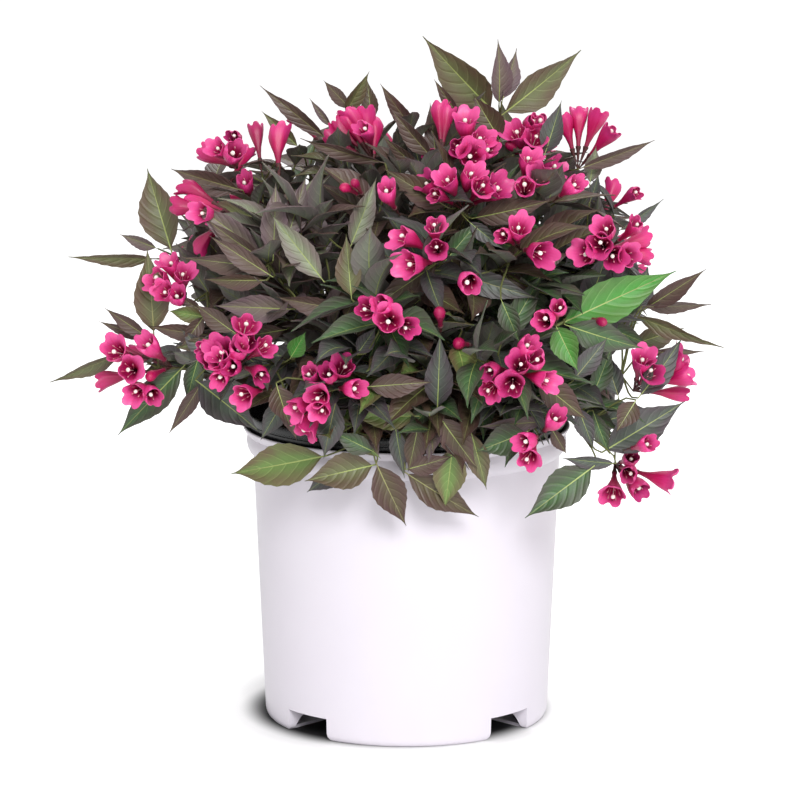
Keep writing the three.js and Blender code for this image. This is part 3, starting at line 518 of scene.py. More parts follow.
def side_stem(main, place_of_tip):
    share = SIDE_STEM["from"]
    start = main.at(share)
    start_way = unit(unit(place(*place_of_tip[:3]) - start) + main.way(share))
    return stem_to(start, start_way, place_of_tip, SIDE_STEM["radii"])


Mass = collections.namedtuple("Mass", "name side stems")


@functools.cache
def limbs():
    """The boughs by name, and the masses with their stems."""
    side_of = {bough: side for side, names in SIDES.items() for bough in names}
    boughs, masses = {}, []
    for name, (tier, tip, stems_of) in BOUGHS.items():
        bough = bough_limb(tier, tip)
        boughs[f"{name}_bough"] = bough
        for k, (mass_name, (main, *others)) in enumerate(stems_of.items()):
            start, way = fork_place(bough, k, place(*main[:3]))
            stem = stem_to(start, way, main, STEM_RADII)
            stems = [stem, *(side_stem(stem, other) for other in others)]
            masses.append(Mass(mass_name, side_of[name], stems))
    return boughs, masses


# ---- the space that each mass keeps to


@functools.cache
def spaces():
    """Places along every stem, with where each mass's begin, and places along the boughs."""
    boughs, masses = limbs()
    lines = [np.concatenate([stem.spaced(LINE_POINTS) for stem in mass.stems]) for mass in masses]
    starts = np.cumsum([0] + [len(line) for line in lines[:-1]])
    bough_spots = np.concatenate([bough.spaced(LINE_POINTS) for bough in boughs.values()])
    return np.concatenate(lines), starts, bough_spots


def distances(points, spots):
    return np.sqrt(((points[:, None] - spots) ** 2).sum(-1))


def seen(x, y, forward):
    """The place that is seen at x, y on the front view, so far in front of the pot's axis."""
    right, down = (x - VIEW["width"] / 2) / FOCUS, (y - VIEW["height"] / 2) / FOCUS
    ray = np.array((right, math.cos(TILT) - down * math.sin(TILT), -math.sin(TILT) - down * math.cos(TILT)))
    return EYE + ray * (-forward - EYE[1]) / ray[1]


def on_view(points):
    """Where points are on the front view, and how far they are from the eye along its line of sight."""
    offset = points - EYE
    depth = offset[..., 1] * math.cos(TILT) - offset[..., 2] * math.sin(TILT)
    rise = offset[..., 1] * math.sin(TILT) + offset[..., 2] * math.cos(TILT)
    x = VIEW["width"] / 2 + FOCUS * offset[..., 0] / depth
    y = VIEW["height"] / 2 - FOCUS * rise / depth
    return np.stack((x, y, depth), -1)


def within(places, outline):
    """For each place on the view, whether it lies inside an outline."""
    starts = np.array(outline, float)
    ends = np.roll(starts, -1, axis=0)
    x, y = places[:, None, 0], places[:, None, 1]
    spans = (starts[:, 1] > y) != (ends[:, 1] > y)
    rise = np.where(ends[:, 1] == starts[:, 1], 1e-9, ends[:, 1] - starts[:, 1])
    crossing = starts[:, 0] + (y - starts[:, 1]) * (ends[:, 0] - starts[:, 0]) / rise
    return (spans & (x < crossing)).sum(1) % 2 == 1


def inside_pots(points):
    reach = np.hypot(points[:, 0], points[:, 1])
    return (points[:, 2] < INNER_RIM + POT_MARGIN) & (reach < OUTER_POT["lip"] + POT_MARGIN)


def keeps_to_its_space(points, mass_index):
    if inside_pots(points).any():
        return False
    spots, starts, bough_spots = spaces()
    near = np.minimum.reduceat(distances(points, spots), starts, axis=1)
    own = near[:, mass_index].copy()
    near[:, mass_index] = np.inf
    if (near.min(1) < own - SPACE_SLACK).any():
        return False
    return distances(points, bough_spots).min() > LIMB_MARGIN


# ---- leaves and flowers as they are placed

# Places down a leaf's edge: share of its length, and of half its breadth.
LEAF_OUTLINE = ((0.2, 0.5), (LEAF["widest"], 1), (0.62, 0.7), (0.8, 0.36), (1, 0))
SHEET_FOOT = 0.16


class Leaf:
    """Where a leaf lies: its root, its frame, its length and breadth, its tint and its own bends."""

    def __init__(self, root, along, face, length, breadth, tint, key, side, leading=False):
        self.root, self.along, self.length, self.breadth = root, along, length, breadth
        self.face = unit(face - along * face.dot(along))
        self.across = np.cross(self.face, along)
        self.tint, self.key, self.side, self.leading = tint, key, side, leading

    def point(self, forward, aside, lift=0.0):
        return self.root + (self.along * forward + self.across * aside + self.face * lift) * self.length

    def outline(self):
        half, droop, widest = self.breadth / 2, LEAF["droop"], LEAF["widest"]
        return np.array([
            self.point(forward, hand * aside * half, -droop * max(0, forward - widest) / (1 - widest))
            for forward, aside in LEAF_OUTLINE for hand in (1, -1)
        ])

    def sheet(self):
        """The sheet that the blade lies in: root, tip, and its two sides."""
        half, widest = self.breadth / 2, LEAF["widest"]
        return np.array((
            self.point(SHEET_FOOT, 0), self.point(1, 0, -LEAF["droop"]),
            self.point(widest, -half), self.point(widest, half),
        ))


class Flower:
    """Where a flower hangs: where its stalk starts, its foot, its axis, its length and its kind."""

    def __init__(self, stalk, root, along, length, kind, key, side, leading=False):
        self.stalk, self.root, self.along, self.length = stalk, root, along, length
        self.kind, self.key, self.side, self.leading = kind, key, side, leading

    def balls(self, sizes):
        """The balls that the flower fills, one on its funnel and one at its mouth: middles and radii."""
        whole = FLOWER["calyx"] + self.length
        return [(*(self.root + self.along * whole * share), radius) for share, radius in sizes]


SHEET_LINES = ((0, 2), (2, 1), (1, 3), (3, 0), (0, 1))
SHEET_TRIANGLES = ((0, 2, 3), (1, 2, 3))


def lines_cut(sheets, others):
    """For each pair of sheets, whether a line of the first cuts a triangle of the second."""
    cut = np.zeros(np.broadcast_shapes(sheets.shape, others.shape)[0], bool)
    for start, end in SHEET_LINES:
        origin, run = sheets[:, start], sheets[:, end] - sheets[:, start]
        for corner, second, third in SHEET_TRIANGLES:
            a = others[:, corner]
            edge1, edge2 = others[:, second] - a, others[:, third] - a
            cross = np.cross(run, edge2)
            scale = (edge1 * cross).sum(-1)
            scale = np.where(np.abs(scale) < 1e-9, 1e-9, scale)
            offset = origin - a
            u = (offset * cross).sum(-1) / scale
            other_cross = np.cross(offset, edge1)
            v = (run * other_cross).sum(-1) / scale
            t = (edge2 * other_cross).sum(-1) / scale
            cut |= (u > 0) & (v > 0) & (u + v < 1) & (t > 0) & (t < 1)
    return cut


class Plant:
    """Everything that grows from the stems: finer wood, leaves and flowers."""

    def __init__(self):
        self.boughs, self.masses = limbs()
        self.stems = [stem for mass in self.masses for stem in mass.stems]
        for stem in self.stems:
            stem.used = 0.0
        self.wood = [(stem, "stem") for stem in self.stems]
        self.leaves, self.flowers = [], []
        self.sheets = np.zeros((0, 4, 3))
        self.flower_balls = np.zeros((0, 4))
        self.shown = np.zeros((0, 3))

    def lies_clear(self, leaf):
        sheet = leaf.sheet()[None]
        if len(self.sheets):
            reach = np.linalg.norm(self.sheets.mean(1) - sheet.mean(1), axis=1)
            near = self.sheets[reach < leaf.length * NEIGHBOUR]
            if len(near) and (lines_cut(sheet, near).any() or lines_cut(near, sheet).any()):
                return False
        if len(self.flower_balls):
            gaps = distances(leaf.outline(), self.flower_balls[:, :3]) - self.flower_balls[:, 3]
            return gaps.min() > 0
        return True

    def keeps_the_view(self, leaf):
        """Whether a leaf stays inside the crown's outline at the front and covers nothing that is to show."""
        rim = on_view(leaf.outline())
        if not within(rim, CROWN_OUTLINE).all():
            return False
        root = on_view(leaf.root)
        covered = within(self.shown, (root[:2], *rim[::2, :2], *rim[-1::-2, :2]))
        return not (covered & (self.shown[:, 2] > root[2] - ON_VIEW["behind"])).any()

    def show(self, points):
        self.shown = np.concatenate((self.shown, on_view(np.asarray(points))))

    def keep(self, leaf):
        self.leaves.append(leaf)
        self.sheets = np.concatenate((self.sheets, leaf.sheet()[None]))

    def add_leaf(self, mass_index, root, way, side, lean, length, tint, *keys):
        """A leaf at its node, if one of a few lengths, turns and leans lies clear there."""
        mass = self.masses[mass_index]
        spun = lean * drawn("leaf_lean", mass_index, *keys)
        breadth = LEAF["breadth"] * drawn("leaf_breadth", mass_index, *keys)
        for share in TRIES["shares"]:
            for turn in TRIES["turns"]:
                turned = swung(side, np.cross(way, side), math.radians(turn))
                for more in TRIES["leans"]:
                    along = unit(swung(way, turned, spun * more) - UP * LEAF_WAY["sag"])
                    face = way * LEAF_WAY["with_twig"] + UP * LEAF_WAY["up"]
                    own_key = (mass_index, *keys)
                    leaf = Leaf(root, along, face, length * share, breadth, tint, own_key, mass.side)
                    fits = self.keeps_the_view(leaf) and keeps_to_its_space(leaf.outline(), mass_index)
                    if fits and self.lies_clear(leaf):
                        self.keep(leaf)
                        return True
        return False

    def add_pair(self, mass_index, limb, share, quarter, lean, length, tint, *keys):
        root, way = limb.at(share), limb.way(share)
        level, upright = sides_of(way)
        angle = quarter * math.pi / 2 + drawn("pair_turn", mass_index, *keys)
        flatness = 1 - FLATTEN * math.hypot(way[0], way[1])
        side = unit(level * math.cos(angle) + upright * math.sin(angle) * flatness)
        for hand, way_out in enumerate((side, -side)):
            own = length * drawn("leaf_length", mass_index, *keys, hand)
            if self.add_leaf(mass_index, root, way, way_out, math.radians(lean), own, tint, *keys, hand):
                limb.hold(share)

    def add_flowers(self, mass_index, limb, key):
        """A loose cluster at the end of a stem, spread in a spiral, without the flowers that don't fit."""
        axis = limb.way(1)
        level, upright = sides_of(axis)
        count = limb.flowers
        for i in range(count):
            tilt = math.radians(FLOWER["spread"]) * math.sqrt((i + 0.4) / count)
            spin = i * SPIRAL + drawn("cluster_turn", mass_index, key)
            along = (axis * math.cos(tilt) + level * math.sin(tilt) * math.cos(spin)
                     + upright * math.sin(tilt) * math.sin(spin))
            stalk = limb.at(1 - drawn("stalk_place", mass_index, key, i) / limb.length)
            root = stalk + along * drawn("peduncle", mass_index, key, i)
            length = FLOWER["length"] * drawn("flower_length", mass_index, key, i)
            kind = "bud" if drawn("bud", mass_index, key, i) < BUD_SHARE else None
            side = self.masses[mass_index].side
            flower = Flower(stalk, root, along, length, kind, (mass_index, key, i), side)
            balls = np.array(flower.balls(FLOWER_BALLS))
            mouth = on_view(balls[1, :3])[:2]
            shows = within(mouth + np.array(ON_VIEW["mouth"]), CROWN_OUTLINE).all()
            if inside_pots(balls[:, :3]).any() or not shows:
                continue
            if len(self.flower_balls) and kind != "bud":
                mouths = self.flower_balls[1::2]
                if np.linalg.norm(mouths[:, :3] - balls[1, :3], axis=1).min() < MOUTH_GAP:
                    continue
            self.flowers.append(flower)
            limb.hold(1.0)
            self.flower_balls = np.concatenate((self.flower_balls, balls))

    def grow_to(self, nearest):
        """Let the stem grow to one of its spaced places, and give that place and its mass's side."""
        spots, starts, _ = spaces()
        stem, step = divmod(nearest, LINE_POINTS + 1)
        self.stems[stem].hold(step / LINE_POINTS)
        return spots[nearest], self.masses[int(np.searchsorted(starts, nearest, "right")) - 1].side

    def add_shoot(self, joint, end, end_way=None):
        """A thin shoot from a stem to where a cluster or a leaf stands, unless they touch."""
        if np.linalg.norm(end - joint) > LEAST_SHOOT:
            way = unit(end - joint)
            end_way = way if end_way is None else unit(end_way + way)
            self.wood.append((Limb(joint, way, end, end_way, SHOOT_RADII), "twig"))

    def add_cluster(self, index, row):
        """A cluster at the front, on a shoot from the foremost place on a stem near it on the view."""
        hub_place, mouths, *forward = row
        spots = spaces()[0]
        places = on_view(spots)
        near = np.hypot(places[:, 0] - hub_place[0], places[:, 1] - hub_place[1])
        close = np.flatnonzero(near < max(CLUSTER["search"], near.min() + 1))
        joint, side = self.grow_to(int(close[spots[close, 1].argmin()]))
        hub = seen(*hub_place, forward[0] if forward else CLUSTER["ahead"] - joint[1])
        self.add_shoot(joint, hub)
        for i, (x, y, *kinds) in enumerate(mouths):
            kind = kinds[0] if kinds else None
            length = FLOWER["length"] * drawn("leading_length", index, i)
            whole = FLOWER["calyx"] + length
            flat = np.linalg.norm(seen(x, y, -hub[1]) - hub)
            reach = whole + PEDUNCLE[0]
            towards = math.sqrt(max(reach**2 - flat**2, (CLUSTER["least"] * reach) ** 2))
            if kind == "side":
                towards = -min(towards, CLUSTER["side"] * reach)
                kind = "half"
            mouth = seen(x, y, -hub[1] + towards)
            along = unit(mouth - hub)
            root = mouth - along * whole
            own_key = (index, KEYS["leading_flower"], i)
            flower = Flower(hub, root, along, length, kind, own_key, side, leading=True)
            self.flowers.append(flower)
            self.flower_balls = np.concatenate((self.flower_balls, flower.balls(LEADING_BALLS)))
            across = np.cross(along, unit(EYE - mouth))
            across = across / max(np.linalg.norm(across), 1e-6) * CLUSTER["half_mouth"]
            up = unit(np.cross(across + 1e-9, along)) * CLUSTER["half_mouth"]
            tube = [root + along * whole * share for share in TUBE_SHARES]
            self.show([mouth, mouth + across, mouth - across, mouth + up, mouth - up, *tube])

    def add_leading_leaf(self, index, row):
        x, y, tip_x, tip_y, root_forward, tip_forward, breadth, roll, tint = row
        start, end = seen(x, y, root_forward), seen(tip_x, tip_y, tip_forward)
        along = unit(end - start)
        across = unit(np.cross(unit(EYE - start), along))
        angle = math.radians(roll) * (1 if across[2] > 0 else -1)
        face = swung(np.cross(along, across), -across, angle)
        length = np.linalg.norm(end - start) * LEADING_LENGTH
        joint, side = self.grow_to(int(distances(start[None], spaces()[0])[0].argmin()))
        own_key = (index, KEYS["leading_leaf"])
        leaf = Leaf(start, along, face, length, breadth, tint, own_key, side, leading=True)
        self.keep(leaf)
        self.show([leaf.point(forward, aside * breadth) for forward, aside in SHOWN_SPOTS])
        self.add_shoot(joint, start, along)

    def add_twig(self, mass_index, stem, share, tint, key):
        """A leafy twig on a stem or a bough, if it keeps to its space and at least one leaf fits on it."""
        way = stem.way(share)
        level, upright = sides_of(way)
        angle = SPIRAL * key + drawn("twig_turn", mass_index, key)
        side = unit(swung(level, upright, angle))
        twig_way = unit(swung(way, side, math.radians(TWIG["lean"])))
        start = stem.at(share)
        tip = start + twig_way * TWIG["length"] * drawn("twig_length", mass_index, key)
        limb = Limb(start, twig_way, tip, unit(twig_way + UP * 0.3), TWIG["radii"])
        if not keeps_to_its_space(limb.spaced(4)[1:], mass_index):
            return
        limb.used = 0.0
        for j, (at, lean_share, size) in enumerate(TWIG["pairs"]):
            lean, length = LEAF["lean"] * lean_share, LEAF["length"] * size
            self.add_pair(mass_index, limb, at, j, lean, length, tint, KEYS["twig_leaves"] + j, key)
        if limb.used:
            self.wood.append((limb, "twig"))
            stem.hold(share)

    def grow(self):
        for index, row in enumerate(CLUSTERS):
            self.add_cluster(index, row)
        for m, mass in enumerate(self.masses):
            for s, stem in enumerate(mass.stems):
                if stem.at(1)[1] > FRONT:
                    self.add_flowers(m, stem, s)
        for index, row in enumerate(LEADING_LEAVES):
            self.add_leading_leaf(index, row)
        for last_only in (True, False):
            for m, mass in enumerate(self.masses):
                self.add_stem_leaves(m, mass, last_only)
        for m, mass in enumerate(self.masses):
            for s, stem in enumerate(mass.stems):
                count = max(2, round(stem.length / TWIG_GAP))
                for t in range(count):
                    share = TWIG_SPAN[0] + TWIG_SPAN[1] * (t + drawn("twig_place", m, s, t)) / count
                    self.add_twig(m, stem, share, self.tint(mass, m, s, t), s * TWIG_KEYS + t)
        for name, bough in self.boughs.items():
            first = next(iter(BOUGHS[name.removesuffix("_bough")][2]))
            m = [mass.name for mass in self.masses].index(first)
            for t in range(INNER_TWIGS):
                share = INNER_SPAN[0] + INNER_SPAN[1] * (t + drawn("inner_place", m, t)) / INNER_TWIGS
                tint = self.tint(self.masses[m], m, KEYS["bough"], t)
                self.add_twig(m, bough, share, tint, KEYS["bough"] * TWIG_KEYS + t)
        return self

    def tint(self, mass, *keys):
        tints = MASS_TINTS.get(mass.name, OTHER_TINTS).split()
        return tints[int(chance(KEYS["tint"], *keys) ** TINT_BIAS * len(tints))]

    def add_stem_leaves(self, m, mass, last_only):
        for s, stem in enumerate(mass.stems):
            bare = BARE_SHARE["side" if s else "main"]
            pairs = max(2, round(stem.length * (1 - bare) / NODE_GAP))
            tint = self.tint(mass, m, s)
            for j in range(pairs):
                last = j == pairs - 1
                if last != last_only:
                    continue
                share = bare + (LAST_NODE - bare) * (j + 1) / pairs
                lean = LEAF["lean"] * (LAST_PAIR["lean"] if last else 1)
                length = LEAF["length"] * (LAST_PAIR["length"] if last else 1)
                self.add_pair(m, stem, share, j, lean, length, tint, s, j)
            if last_only and not stem.flowers:
                lean, length = LEAF["lean"] * YOUNG_PAIR["lean"], LEAF["length"] * YOUNG_PAIR["length"]
                self.add_pair(m, stem, 1, pairs, lean, length, YOUNG_PAIR["tint"], s, KEYS["young"])


@functools.cache
def plant():
    return Plant().grow()


# ---- modelling by hand

SMOOTH = {"pots": 32, "soil": 60, "crown": 70, "copies": 50}  # degrees under which an edge is shaded smooth


def cleared():
    """Nothing selected and no edit mode, so that the next operator acts on its own piece alone."""
    if bpy.context.mode != "OBJECT":
        bpy.ops.object.mode_set(mode="OBJECT")
    bpy.ops.object.select_all(action="DESELECT")


def alone(obj):
    """One piece active and selected, and no other."""
    cleared()
    bpy.context.view_layer.objects.active = obj
    obj.select_set(True)


@contextlib.contextmanager
def editing(obj):
    """Edit mode on one piece, with all of it selected."""
    alone(obj)
    bpy.ops.object.mode_set(mode="EDIT")
    bpy.ops.mesh.select_all(action="SELECT")
    yield
    bpy.ops.object.mode_set(mode="OBJECT")


def settled(obj):
    bpy.ops.object.transform_apply(location=True, rotation=True, scale=True)
    return obj


def started(name):
    """The object that a primitive has just added, named, with its place applied to its mesh."""
    obj = bpy.context.object
    obj.name = obj.data.name = name
    return settled(obj)


def turned_about(obj, azimuth):
    alone(obj)
    obj.rotation_euler.z = math.radians(azimuth)
    return settled(obj)


def ringed(name, sides, rings, filled=True, unit_size=1.0):
    """A turned piece drawn up ring by ring from a disc. Each ring is a radius and a height."""
    cleared()
    (radius, height), *others = [(radius * unit_size, height * unit_size) for radius, height in rings]
    bpy.ops.mesh.primitive_circle_add(
        vertices=sides, radius=radius, location=(0, 0, height), fill_type="NGON" if filled else "NOTHING")
    obj = started(name)
    with editing(obj):
        for next_radius, next_height in others:
            bpy.ops.mesh.extrude_region_move(TRANSFORM_OT_translate={"value": (0, 0, next_height - height)})
            ratio = next_radius / radius
            bpy.ops.transform.resize(value=(ratio, ratio, 1), center_override=(0, 0, next_height))
            radius, height = next_radius, next_height
    return obj


def outward(obj):
    """Faces pointing out, once what lies in one place is merged."""
    with editing(obj):
        bpy.ops.mesh.remove_doubles(threshold=1e-6)
        bpy.ops.mesh.normals_make_consistent(inside=False)
    return obj


def smoothed(obj, degrees):
    alone(obj)
    bpy.ops.object.shade_smooth_by_angle(angle=math.radians(degrees))
    return obj


def applied(obj, kind, **settings):
    """Adds a modifier with its settings and applies it."""
    alone(obj)
    modifier = obj.modifiers.new(kind.title(), kind)
    for name, value in settings.items():
        setattr(modifier, name, value)
    bpy.ops.object.modifier_apply(modifier=modifier.name)
    return obj


def combined(obj, other, operation):
    """Joins or cuts a piece with another, which is used up."""
    applied(obj, "BOOLEAN", object=other, operation=operation, solver="EXACT")
    bpy.data.objects.remove(other)
    return obj


def finished(obj, materials, slot, *nodes):
    """Gives a piece its materials, and lets it ride in place of the nodes that it replaces. Its slot is not
    used.
    """
    for material in materials:
        obj.data.materials.append(material)
    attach(obj, BODY)
    if nodes:
        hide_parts(*nodes)
    return obj


# ---- many copies of a small form as one mesh


def read(items, key, width, kind=float):
    """One property of every item, as rows of numbers."""
    values = np.zeros(len(items) * width, np.int32 if kind is int else np.float32)
    items.foreach_get(key, values)
    return values.astype(kind).reshape(-1, width) if width > 1 else values.astype(kind)


class Form:
    """A small thing modelled once: its corners, faces, finishes and maps, ready to be copied in arrays."""

    def __init__(self, *parts):
        corners, loops, starts, slots, maps = [], [], [], [], {}
        corner_count = loop_count = 0
        for obj in parts:
            mesh = obj.data
            corners.append(read(mesh.vertices, "co", 3))
            loops.append(read(mesh.loops, "vertex_index", 1, int) + corner_count)
            starts.append(read(mesh.polygons, "loop_start", 1, int) + loop_count)
            slots.append(read(mesh.polygons, "material_index", 1, int))
            for layer in mesh.uv_layers:
                maps.setdefault(layer.name, []).append(read(layer.data, "uv", 2))
            corner_count += len(mesh.vertices)
            loop_count += len(mesh.loops)
            bpy.data.objects.remove(obj)
        self.corners, self.loops = np.concatenate(corners), np.concatenate(loops)
        self.starts, self.slots = np.concatenate(starts), np.concatenate(slots)
        self.maps = {name: np.concatenate(places) for name, places in maps.items()}


BAKE_MAP = "OFBake"


def gathered(name, batches):
    """One mesh from batches of copies: a form, its copies' corners, and each copy's finish for each slot."""
    cells = math.ceil(math.sqrt(sum(len(corners) for _, corners, _ in batches)))
    corners_all, loops_all, starts_all, slots_all = [], [], [], []
    maps_all = {}
    corner_count = loop_count = cell = 0
    for form, corners, finishes in batches:
        n = len(corners)
        if not n:
            continue
        per_corner, per_loop = len(form.corners), len(form.loops)
        corners_all.append(corners.reshape(-1, 3))
        shifts = corner_count + np.arange(n) * per_corner
        loops_all.append((form.loops[None] + shifts[:, None]).ravel())
        starts_all.append((form.starts[None] + (loop_count + np.arange(n) * per_loop)[:, None]).ravel())
        slots_all.append(finishes[:, form.slots].ravel())
        spots = np.arange(cell, cell + n)
        for key, places in form.maps.items():
            copies = np.repeat(places[None], n, axis=0)
            if key == BAKE_MAP:
                copies = (copies + np.stack((spots % cells, spots // cells), -1)[:, None]) / cells
            maps_all.setdefault(key, []).append(copies.reshape(-1, 2))
        corner_count += n * per_corner
        loop_count += n * per_loop
        cell += n
    mesh = bpy.data.meshes.new(name)
    corners = np.concatenate(corners_all)
    loops, starts = np.concatenate(loops_all), np.concatenate(starts_all)
    mesh.vertices.add(len(corners))
    mesh.loops.add(len(loops))
    mesh.polygons.add(len(starts))
    mesh.vertices.foreach_set("co", (corners * MM).astype(np.float32).ravel())
    mesh.loops.foreach_set("vertex_index", loops.astype(np.int32))
    mesh.polygons.foreach_set("loop_start", starts.astype(np.int32))
    mesh.polygons.foreach_set("material_index", np.concatenate(slots_all).astype(np.int32))
    for key, places in maps_all.items():
        mesh.uv_layers.new(name=key).data.foreach_set("uv", np.concatenate(places).astype(np.float32).ravel())
    mesh.update(calc_edges=True)
    mesh.validate()
    mesh.shade_smooth()
    mesh.set_sharp_from_angle(angle=math.radians(SMOOTH["copies"]))
    obj = bpy.data.objects.new(name, mesh)
    bpy.context.scene.collection.objects.link(obj)
    return obj


def mapped(obj, slots=(), **maps):
    """Gives each face its finish and each corner its place on the maps, as arrays."""
    if len(slots):
        obj.data.polygons.foreach_set("material_index", np.asarray(slots, np.int32))
    for name, places in maps.items():
        layer = obj.data.uv_layers.get(name) or obj.data.uv_layers.new(name=name)
        layer.data.foreach_set("uv", np.asarray(places, np.float32).ravel())
    return obj


# ---- forms of a leaf, a flower, a bud, a twig

STALK_SHARE = 0.05
RIB = 0.0185  # half the midrib's breadth at a leaf's foot, as a share of its length
RIB_DEPTH = 0.004
BLADE = {"rise": 1.05, "fall": 1.8, "inner": 0.52, "tooth": 1.03, "gap": 0.975}


def clipped(value):
    return min(max(value, 0), 1)


def corners_of(obj):
    """Every face with each of its corners in turn."""
    mesh = obj.data
    for face in mesh.polygons:
        for i in face.loop_indices:
            yield face, mesh.vertices[mesh.loops[i].vertex_index].co


def turn_of(spot):
    return math.atan2(spot.y, spot.x) / math.tau % 1


def unrolled(obj):
    """Every face with each corner's turn about the axis, without a seam across the face, and its height."""
    for face, spot in corners_of(obj):
        around = turn_of(spot)
        yield face, around + round(turn_of(face.center) - around), spot.z


def half_width(x):
    """Half the breadth of a leaf blade at a share of its length, 1 at its widest."""
    peak = BLADE["rise"] / (BLADE["rise"] + BLADE["fall"])
    s = np.clip((x - STALK_SHARE) / (1 - STALK_SHARE), 0.0, 1.0)
    blade = (s / peak) ** BLADE["rise"] * ((1 - s) / (1 - peak)) ** BLADE["fall"]
    return np.maximum(blade, 0.032 * (1 - 0.8 * s))


def leaf_form(rows, strips, toothed):
    """A flat leaf one unit long and one unit broad, with a midrib let into it, and a toothed edge or none."""
    cleared()
    bpy.ops.mesh.primitive_grid_add(x_subdivisions=rows, y_subdivisions=strips, size=1, location=(0.5, 0, 0))
    obj = started("leaf")
    with editing(obj):
        bpy.ops.mesh.select_mode(type="EDGE")
        bpy.ops.mesh.select_all(action="DESELECT")
        shape = bmesh.from_edit_mesh(obj.data)
        for edge in shape.edges:
            if all(abs(v.co.y) < 1e-4 for v in edge.verts):
                edge.select_set(True)
        bmesh.update_edit_mesh(obj.data)
        bpy.ops.mesh.bevel(offset=0.03, segments=1, affect="EDGES")
        bpy.ops.mesh.select_mode(type="VERT")
    for vertex in obj.data.vertices:
        x, y, _ = vertex.co
        row, rank = round(x * rows), abs(y) * 2
        half, rib = float(half_width(x)) / 2, RIB * (1 - 0.72 * x)
        if rank < 0.2:
            vertex.co = (x, math.copysign(min(rib, half), y), -RIB_DEPTH)
            continue
        across = half * (1 if rank > 0.9 else BLADE["inner"])
        if toothed and rank > 0.9 and 1 < row < rows:
            across *= BLADE["tooth"] if row % 2 else BLADE["gap"]
        vertex.co = (x, math.copysign(max(across, rib * 1.1), y), 0)
    applied(obj, "SOLIDIFY", thickness=LEAF["thickness"], offset=0)
    blade, cell, reach = [], [], {}
    for face, (x, y, z) in corners_of(obj):
        rank = clipped(0.5 + 0.5 * y / max(float(half_width(x)) / 2, 0.02))
        reach[face.index] = max(reach.get(face.index, 0), abs(y))
        blade.append((x, rank))
        side = (0.53 if face.normal.z > 0 else 0.03) + 0.44 * rank
        cell.append((0.03 + 0.94 * x, 0.49 + 0.02 * (z > 0) if is_rim(face) else side))
    slots = []
    for face in obj.data.polygons:
        rib = reach[face.index] < RIB * 1.01 and face.center.x < 0.92 and not is_rim(face)
        slots.append(2 if rib else 0 if is_rim(face) or face.normal.z > 0 else 1)
    return Form(mapped(obj, slots, blade=blade, **{BAKE_MAP: cell}))


def is_rim(face):
    return abs(face.normal.z) < 0.35


# Rings of a flower, from its foot to its mouth: share of its length, share of its mouth's radius.
OPEN_RINGS = (
    (0, 0.17), (0.14, 0.2), (0.3, 0.32), (0.45, 0.52), (0.58, 0.7), (0.7, 0.84), (0.8, 0.95), (0.89, 1.05),
    (0.96, 1.17), (1, 1.26),
)
HALF_RINGS = (
    (0, 0.17), (0.16, 0.21), (0.34, 0.33), (0.5, 0.52), (0.64, 0.68), (0.76, 0.79), (0.87, 0.86),
    (0.95, 0.88), (1, 0.84),
)
LOBES = 5
# How lobes are rounded, folded and ribbed, how their tips curl in and flare out, and which faces are inner.
LOBE = {"round": 0.5, "start": 0.4, "fold": 0.34, "rib": 0.05, "curl": 0.05, "flare": 0.1, "inner": 0.4}
PETAL_WALL = 0.013
LOBE_SIDES = {"near": 6, "far": 4}
CLEFT = {"open": 0.3, "half": 0.26}  # how far the notches between the lobes reach down, as a share

# Rings of its small parts, radius and height in millimetres, on a flower of the usual length.
STIGMA_RINGS = ((0.3, 12), (0.3, 26.2), (1.2, 26.8), (1.65, 28), (1.5, 29.2), (0.6, 29.8))
ANTHER_RINGS = ((0.2, 14), (0.2, 23.5), (0.55, 24), (0.5, 26.6))
CALYX_RINGS = ((0.55, -11), (0.95, -8.5), (1.15, -5), (1.35, -2.5), (1.9, -0.5), (2.15, 3.2), (1.6, 3.6))
BUD_RINGS = (
    (1.3, 0), (1.5, 5), (2.0, 11), (3.0, 16), (3.9, 20), (4.1, 23), (3.3, 25.6), (1.6, 27.2), (0.4, 27.6),
)
PART = 1 / FLOWER["length"]


def lobe_turn(x, y):
    """How far round its own lobe a place is, from 0 to 1."""
    return (math.atan2(y, x) / math.tau * LOBES) % 1


def between_lobes(vertex):
    return abs(lobe_turn(vertex.co.x, vertex.co.y) - 0.5) > 0.3


def corolla(name, rings, cleft, lobe_sides):
    """A funnel of five round lobes."""
    mouth = FLOWER["mouth"] / FLOWER["length"]
    rings = [(radius * mouth, height) for height, radius in rings]
    obj = ringed(name, LOBES * lobe_sides, rings, filled=False)
    for vertex in obj.data.vertices:
        x, y, z = vertex.co
        turn = lobe_turn(x, y)
        lobe = math.sin(math.pi * turn)
        high = max(0.0, (z - (1 - cleft)) / cleft)
        notch = high * (1 - lobe ** LOBE["round"])
        rounding = 1 - cleft * high ** LOBE["start"] * notch
        fold = 1 - LOBE["fold"] * notch
        ribs = 1 + LOBE["rib"] * math.cos(math.tau * turn) * min(1, z * 2) * (1 - high)
        curl = z * rounding - LOBE["curl"] * high * high * lobe**2
        vertex.co = (x * fold * ribs + LOBE["flare"] * high * z, y * fold * ribs, curl)
    first = obj.data.polygons[0]
    if first.normal.xy.dot(first.center.xy) < 0:
        obj.data.flip_normals()
    applied(obj, "SOLIDIFY", thickness=PETAL_WALL, offset=-1)
    inner = [
        face.normal.xy.dot(face.center.xy) - LOBE["inner"] * face.normal.z * face.center.xy.length < 0
        for face in obj.data.polygons
    ]
    petal, cell = [], []
    for face, around, z in unrolled(obj):
        petal.append((around, z))
        cell.append((0.03 + 0.94 * clipped(around), (0.52 if inner[face.index] else 0.08) + 0.4 * clipped(z)))
    return mapped(obj, inner, petal=petal, **{BAKE_MAP: cell})


